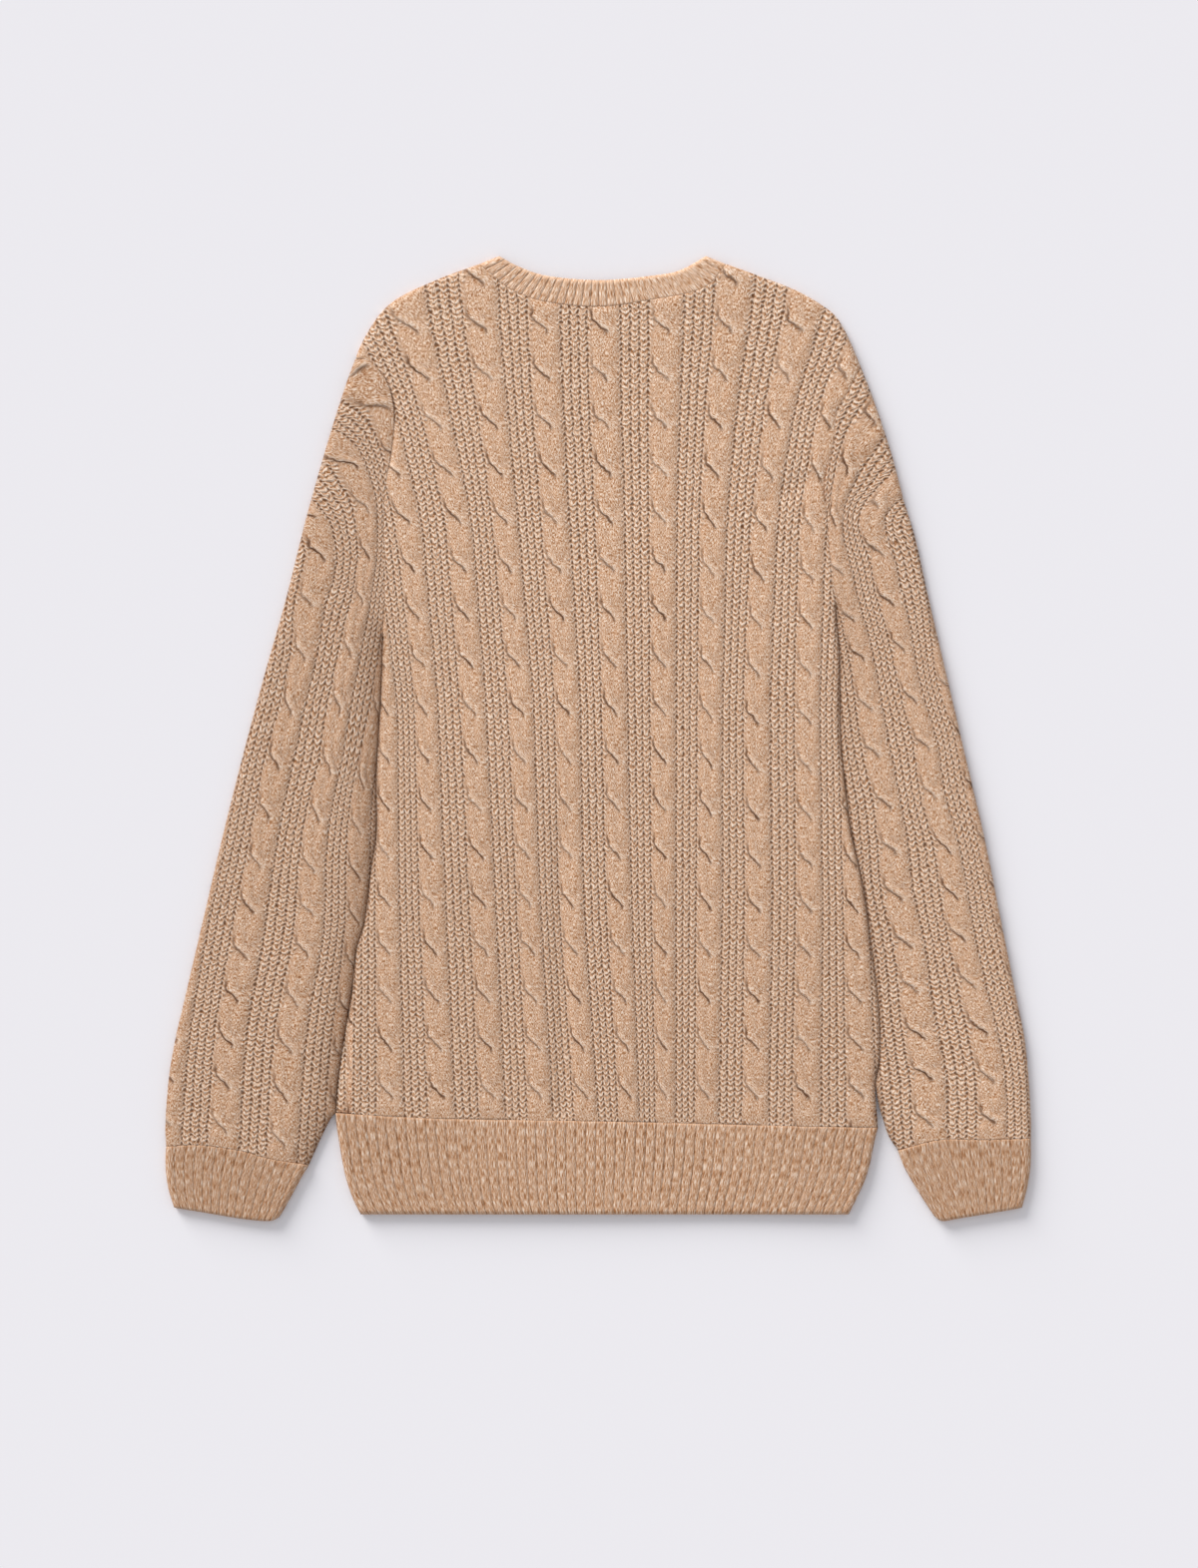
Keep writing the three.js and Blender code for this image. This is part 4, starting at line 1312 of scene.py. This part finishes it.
@dataclass(frozen=True)
class CableWool(MarledWool):
    """The wool knitted in rope cables and bands of plain stitches.

    line and brink are how much painted shade the crossing lines and a cable's left edge get, and
    column_hole and leg_hole how much painted shade the gaps get between two columns and between the legs
    of a stitch. cable_half and wale_pitch are sizes in mm. strand_shift and lane_shift, in mm too, give
    each strand and lane flecks of its own.
    """

    line: float = 0.95
    brink: float = 0.4
    column_hole: float = 0.86
    leg_hole: float = 0.5
    cable_half: float = 8.8
    wale_pitch: float = 5.5
    strand_shift: float = 37.0
    lane_shift: float = 13.7

    def rope(
        self, bench: Bench, spot: Socket, lane: Socket, turn: Socket
    ) -> tuple[Socket, Socket, Socket, Socket]:
        """Draws the cables.

        At a crossing the upper strand swings from right to left going up, and its left edge gets a line
        of painted shade, with painted shadow below it. The fibres swing over from further off than the
        strands cross.

        Args:
            bench: The material's tree.
            spot: The point in the row frame.
            lane: Whole at each cable's centre line.
            turn: Crossings counted along the cables.

        Returns:
            How far a point is on a cable, how much painted shade its lines give there, how much painted
            highlight the top of its strand gets, and the distance across its strand's fibres in mm.
        """
        add = bench.add
        s = add(MATH, add(MATH, lane, add(MATH, lane, operation="ROUND"), operation="SUBTRACT"),
                1 / CABLE_HALF_LANE, operation="MULTIPLY")
        tau = add(MATH, turn, add(MATH, turn, operation="ROUND"), operation="SUBTRACT")
        far_off = add(MATH, tau, operation="ABSOLUTE")
        waist = add(RANGE, far_off, 0.0, 0.28, CABLE_WAIST, 0.0, interpolation_type="SMOOTHSTEP")
        wide = add(MATH, add(MATH, s, operation="ABSOLUTE"), waist, operation="ADD")
        on_cable = add(RANGE, wide, 0.86, 1.05, 1.0, 0.0)
        turned = add(RANGE, tau, -CROSSING_REACH, CROSSING_REACH, -math.pi / 2, math.pi / 2)
        lean = add(MATH, turned, operation="SINE")
        upper = add(MATH, s, -STRAND_SET, operation="ADD")
        upper = add(MATH, lean, STRAND_SWING, upper, operation="MULTIPLY_ADD")
        edge = add(MATH, upper, STRAND_HALF, operation="ADD")
        is_upper = add(MATH, edge, 0.0, operation="GREATER_THAN")
        near = add(RANGE, far_off, 0.1, 0.25, 1.0, 0.0, interpolation_type="SMOOTHSTEP")
        drawn = add(RANGE, tau, 0.2, 0.48, 1.0, 0.0, interpolation_type="SMOOTHSTEP")
        drawn = add(MATH, drawn, add(RANGE, tau, -0.26, -0.14, 0.0, 1.0), operation="MULTIPLY")
        # Painted shade: a line along the upper strand's left edge, painted shadow below it, and a
        # fainter line along its right edge.
        off_line = add(MATH, edge, operation="ABSOLUTE")
        line = add(RANGE, off_line, 0.04, 0.19, self.line, 0.0, interpolation_type="SMOOTHSTEP")
        line = add(MATH, line, drawn, operation="MULTIPLY")
        below = add(RANGE, edge, -0.45, 0.0, 0.0, 0.26)
        below = add(MATH, below, add(MATH, 1.0, is_upper, operation="SUBTRACT"), operation="MULTIPLY")
        below = add(MATH, below, near, operation="MULTIPLY")
        line = add(MATH, line, below, operation="MAXIMUM")
        back = add(MATH, add(MATH, upper, -STRAND_HALF, operation="ADD"), operation="ABSOLUTE")
        back = add(RANGE, back, 0.0, 0.16, 0.2, 0.0, interpolation_type="SMOOTHSTEP")
        line = add(MATH, line, add(MATH, back, near, operation="MULTIPLY"), operation="MAXIMUM")
        firm = add("ShaderNodeTexNoise", named={"Vector": spot, "Scale": 30.0, "Detail": 0.0})
        firm = add(RANGE, firm, 0.3, 0.7, 0.55, 1.0)
        line = add(MATH, line, firm, operation="MULTIPLY")
        # Painted highlight along the top of the upper strand near a crossing.
        crest_highlight = add(MATH, is_upper, add(RANGE, edge, 0.1, 0.8, 0.06, 0.0), operation="MULTIPLY")
        crest_highlight = add(MATH, crest_highlight, near, operation="MULTIPLY")
        # Painted shade along the cable's left edge.
        brink = add(RANGE, s, -1.15, -0.75, self.brink, 0.0, interpolation_type="SMOOTHSTEP")
        brink = add(MATH, brink, add(RANGE, s, -1.5, -1.15, 0.0, 1.0), operation="MULTIPLY")
        line = add(MATH, line, brink, operation="MAXIMUM")
        swing = add(MATH, add(RANGE, tau, -0.33, 0.36, -math.pi / 2, math.pi / 2), operation="SINE")
        swung = add(MATH, is_upper, 2.0, -1.0, operation="MULTIPLY_ADD")
        swung = add(MATH, swung, swing, operation="MULTIPLY")
        flow = add(MATH, swung, 0.62, s, operation="MULTIPLY_ADD")
        flow_mm = add(MATH, is_upper, self.strand_shift, operation="MULTIPLY")
        flow_mm = add(MATH, flow, self.cable_half, flow_mm, operation="MULTIPLY_ADD")
        return on_cable, line, crest_highlight, flow_mm

    def bands(
        self, bench: Bench, lane: Socket, turn: Socket
    ) -> tuple[Socket, Socket, Socket, Socket, Socket]:
        """Draws the bands: columns of plain stitches, each stitch two legs that lean together.

        Args:
            bench: The material's tree.
            lane: Whole at each cable's centre line.
            turn: Crossings counted along the cables.

        Returns:
            Columns counted across, courses counted along, courses counted along the leaning legs, how
            high a leg is, and how much painted shade a point gets where stitches part.
        """
        add = bench.add
        past = add(MATH, add(MATH, lane, CABLE_HALF_LANE, operation="SUBTRACT"), operation="FRACT")
        wales_per_lane = GROUND_WALES / (1 - 2 * CABLE_HALF_LANE)
        wale = add(MATH, past, wales_per_lane, -GROUND_MARGIN, operation="MULTIPLY_ADD")
        course = add(MATH, turn, float(COURSES_PER_CROSSING), operation="MULTIPLY")
        column = self.off_middle(bench, wale)
        leaned = add(MATH, column, -LEG_LEAN, course, operation="MULTIPLY_ADD")
        leg = add(MATH, add(MATH, leaned, 2 * math.pi, operation="MULTIPLY"), operation="COSINE")
        beat = add(MATH, course, 2 * math.pi, -1.9, operation="MULTIPLY_ADD")
        beat = add(MATH, beat, operation="COSINE")
        # Painted shade in the gaps between columns and between a stitch's legs.
        at_side = add(RANGE, column, 0.58, 0.92, 0.0, self.column_hole, interpolation_type="SMOOTHSTEP")
        at_side = add(MATH, at_side, add(RANGE, beat, -0.9, 0.6, 0.38, 1.0), operation="MULTIPLY")
        at_middle = add(RANGE, column, 0.08, 0.42, self.leg_hole, 0.0, interpolation_type="SMOOTHSTEP")
        at_middle = add(MATH, at_middle, add(RANGE, beat, -0.8, 0.1, 1.0, 0.0), operation="MULTIPLY")
        hole_shade = add(MATH, at_side, at_middle, operation="MAXIMUM")
        return wale, course, leaned, leg, hole_shade

    def material(self) -> bpy.types.Material:
        """The wool's material."""
        bench = Bench(self.name)
        add = bench.add
        # Places wander by half a millimetre or so.
        spot, lane, turn = self.stitch_place(bench, 190.0, (0.085, 0.1, 0.0))
        on_cable, line, crest_highlight, flow_mm = self.rope(bench, spot, lane, turn)
        wale, course, leaned, leg, hole_shade = self.bands(bench, lane, turn)
        off_cable = add(MATH, 1.0, on_cable, operation="SUBTRACT")
        dark = add(MATH, add(MATH, hole_shade, off_cable, operation="MULTIPLY"),
                   add(MATH, line, on_cable, operation="MULTIPLY"), operation="ADD")
        # The yarn's own directions: along the strands of a cable, and along the legs of a stitch.
        wale_mm = add(MATH, wale, self.wale_pitch, operation="MULTIPLY")
        across = add(MATH, add(MATH, flow_mm, on_cable, operation="MULTIPLY"),
                     add(MATH, wale_mm, off_cable, operation="MULTIPLY"), operation="ADD")
        along = add(MATH, course, leaned, operation="SUBTRACT")
        along = add(MATH, along, on_cable, leaned, operation="MULTIPLY_ADD")
        along = add(MATH, along, COURSE, operation="MULTIPLY")
        shift = add(MATH, lane, operation="FLOOR")
        along = add(MATH, shift, self.lane_shift, along, operation="MULTIPLY_ADD")
        # Painted highlight on the stitches' legs and on the upper strands, with a small lift of the
        # yarn's tone.
        pale = add(MATH, leg, 0.07, 0.02, operation="MULTIPLY_ADD")
        pale = add(MATH, pale, off_cable, operation="MULTIPLY")
        pale = add(MATH, crest_highlight, on_cable, pale, operation="MULTIPLY_ADD")
        form = add(MATH, add(MATH, leg, 0.3, operation="MULTIPLY"), off_cable, operation="MULTIPLY")
        return self.dress(bench, across, along, dark, form, pale)


@dataclass(frozen=True)
class RibWool(MarledWool):
    """The wool knitted in rib, its flecks drawn out along the ribs.

    valley is how much painted shade the darkest valleys get, and tint is added to the yarn's place
    between brown and cream.
    """

    valley: float = 0.56
    tint: float = -0.01
    fleck_wide: float = 0.42
    fleck_long: float = 6.0

    def material(self) -> bpy.types.Material:
        """The wool's material."""
        bench = Bench(self.name)
        add = bench.add
        spot, rib, course = self.stitch_place(bench, 120.0, (0.12, 0.4, 0.0))
        side = self.off_middle(bench, rib)
        # Painted shade in the valleys between ribs, patchy along them.
        valley = add(RANGE, side, 0.76, 1.0, 0.0, 1.0, interpolation_type="SMOOTHSTEP")
        patchy = add("ShaderNodeTexNoise", named={"Vector": spot, "Scale": 14.0, "Detail": 1.0})
        patchy = add(RANGE, patchy, 0.36, 0.62, self.valley * 0.25, self.valley)
        dark = add(MATH, valley, patchy, operation="MULTIPLY")
        column = self.off_middle(bench, add(MATH, rib, 2.0, operation="MULTIPLY"))
        leaned = add(MATH, column, -LEG_LEAN, course, operation="MULTIPLY_ADD")
        leg = add(MATH, add(MATH, leaned, 2 * math.pi, operation="MULTIPLY"), operation="COSINE")
        form = add(MATH, leg, 0.08, operation="MULTIPLY")
        across = add(MATH, rib, RIB_PITCH, operation="MULTIPLY")
        along = add(MATH, course, COURSE, operation="MULTIPLY")
        # A faint painted highlight on the legs, with the wool's tint.
        pale = add(MATH, leg, 0.01, self.tint, operation="MULTIPLY_ADD")
        return self.dress(bench, across, along, dark, form, pale)


@dataclass(frozen=True)
class StudioPaper:
    """Matt white background paper, evenly lit, so that it reads as a clean pale ground."""

    name: str = "white_background_paper"
    colour: str = "e8e7ec"

    def material(self) -> bpy.types.Material:
        """The paper's material."""
        bench = Bench(self.name)
        shader = bench.add("ShaderNodeBsdfPrincipled", named={
            "Base Color": linear(self.colour), "Roughness": 1.0, "Specular IOR Level": 0.0})
        bench.add("ShaderNodeOutputMaterial", shader)
        return bench.material


@dataclass
class Studio:
    """The floor, the lights and the camera.

    centre, view_height and camera_height are in mm: where the camera looks, how much it sees from top to
    bottom, and how high it hangs. The sun's angle, height and direction are in degrees.
    """

    centre: tuple[float, float] = (0.75, -34.1)
    view_height: float = 1178.0
    camera_height: float = 3200.0
    sky: float = 0.635
    sun: float = 3.8
    sun_angle: float = 34.0
    sun_height: float = 20.0
    sun_from: float = 126.0

    def build(self) -> None:
        """Lays the floor and sets the lights and camera."""
        bpy.ops.object.select_all(action="DESELECT")
        bpy.ops.mesh.primitive_plane_add(size=8.0, location=(0, 0, 0))
        floor = bpy.context.object
        floor.name = "table"
        floor.data.materials.append(StudioPaper().material())
        world = bpy.data.worlds.new("soft_room")
        world.use_nodes = True
        world.node_tree.nodes["Background"].inputs[0].default_value = (0.985, 0.985, 1.0, 1.0)
        world.node_tree.nodes["Background"].inputs[1].default_value = self.sky
        bpy.context.scene.world = world
        light = bpy.data.lights.new("window_light", "SUN")
        light.energy = self.sun
        light.angle = math.radians(self.sun_angle)
        light.color = (1.0, 0.985, 0.96)
        lamp = bpy.data.objects.new("window_light", light)
        lamp.rotation_euler = (
            math.radians(90.0 - self.sun_height), 0.0, math.radians(self.sun_from + 90.0))
        bpy.context.scene.collection.objects.link(lamp)
        camera = bpy.data.cameras.new("camera")
        camera.sensor_width = 36.0
        camera.lens = 36.0 * self.camera_height / self.view_height
        camera.clip_start = 0.05
        camera.clip_end = 20.0
        holder = bpy.data.objects.new("camera", camera)
        holder.location = (self.centre[0] / 1000, self.centre[1] / 1000, self.camera_height / 1000)
        bpy.context.scene.collection.objects.link(holder)
        bpy.context.scene.camera = holder
        bpy.context.scene.view_settings.view_transform = "Standard"
        bpy.context.scene.view_settings.look = "None"


def seat(
    piece: bpy.types.Object, nodes: tuple[str, ...],
) -> None:
    """Hangs a piece under the root and hides the solids that it stands for.

    Args:
        piece: The piece.
        nodes: The solids that it stands for.
    """
    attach(piece, "root")
    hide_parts(*nodes)
    LOG.info("%s: %d faces", piece.name, len(piece.data.polygons))


def main() -> None:
    """Builds the garment and the studio."""
    logging.basicConfig(level=logging.INFO, format="%(message)s")
    cable_wool = CableWool("marled_lambswool_cable_knit").material()
    rib_wool = RibWool("marled_lambswool_rib_knit").material()
    cuff_wool = RibWool("marled_lambswool_cuff_rib", valley=0.36).material()
    neck_wool = RibWool("marled_lambswool_neck_rib", valley=0.4, tint=0.01).material()
    front = FrontPanel().build(cable_wool)
    seat(front, ("front_panel",))
    hem_front = HemFront().build(rib_wool)
    seat(hem_front, ("hem_rib_front",))
    neck_front = NeckbandFront().build(rib_wool)
    seat(neck_front, ("neckband_front",))
    back = BackPanel().build(cable_wool)
    seat(back, ("back_panel",))
    hem = HemBack(
        "hem_back_rib", HEM_EDGE, HEM_SEAM, LEFT_HEM_SIDE[::-1], RIGHT_HEM_SIDE[::-1],
        ribs=54, courses=18, columns_per_rib=9, rows=40, slow_shade=0.14,
    ).build(rib_wool)
    seat(hem, ("hem_rib_back",))
    neck = NeckbandBack(
        "neckband_back_rib", NECK_SEAM, NECK_TOP, [NECK_SEAM[0], NECK_TOP[0]],
        [NECK_SEAM[-1], NECK_TOP[-1]], ribs=31, courses=5, columns_per_rib=9, rows=22,
    ).build(neck_wool)
    seat(neck, ("neckband_back",))
    left = Sleeve(
        "left_sleeve_knit", LEFT_SLEEVE_OUTER, LEFT_ARMHOLE, LEFT_SIDE, LEFT_SLEEVE_INNER,
        LEFT_CUFF_SEAM, LEFT_SLEEVE_CROSSINGS, side_dip=1.4, side_shade=0.3, slow_shade=0.16,
        rim_shade=0.3,
    ).build(cable_wool)
    seat(left, ("sleeve_left",))
    right = Sleeve(
        "right_sleeve_knit", RIGHT_SLEEVE_OUTER, RIGHT_ARMHOLE, RIGHT_SIDE[:-1], RIGHT_SLEEVE_INNER,
        RIGHT_CUFF_SEAM, RIGHT_SLEEVE_CROSSINGS, side_dip=0.5, side_shade=0.1, slow_shade=0.1,
        rim_shade=0.1,
    ).build(cable_wool)
    seat(right, ("sleeve_right",))
    left_cuff = Cuff(
        "left_cuff_rib", LEFT_CUFF_EDGE, LEFT_CUFF_SEAM, LEFT_CUFF_OUTER[::-1], LEFT_CUFF_INNER[::-1],
        ribs=14, courses=12, columns_per_rib=14, rows=48, slow_shade=0.28,
    ).build(cuff_wool)
    seat(left_cuff, ("cuff_left",))
    right_cuff = Cuff(
        "right_cuff_rib", RIGHT_CUFF_EDGE, RIGHT_CUFF_SEAM, RIGHT_CUFF_OUTER[::-1],
        RIGHT_CUFF_INNER[::-1], ribs=13, courses=12, columns_per_rib=14, rows=48, slow_shade=0.25,
    ).build(cuff_wool)
    seat(right_cuff, ("cuff_right",))
    Studio().build()
    bpy.context.view_layer.update()


if __name__ == "__main__":
    main()
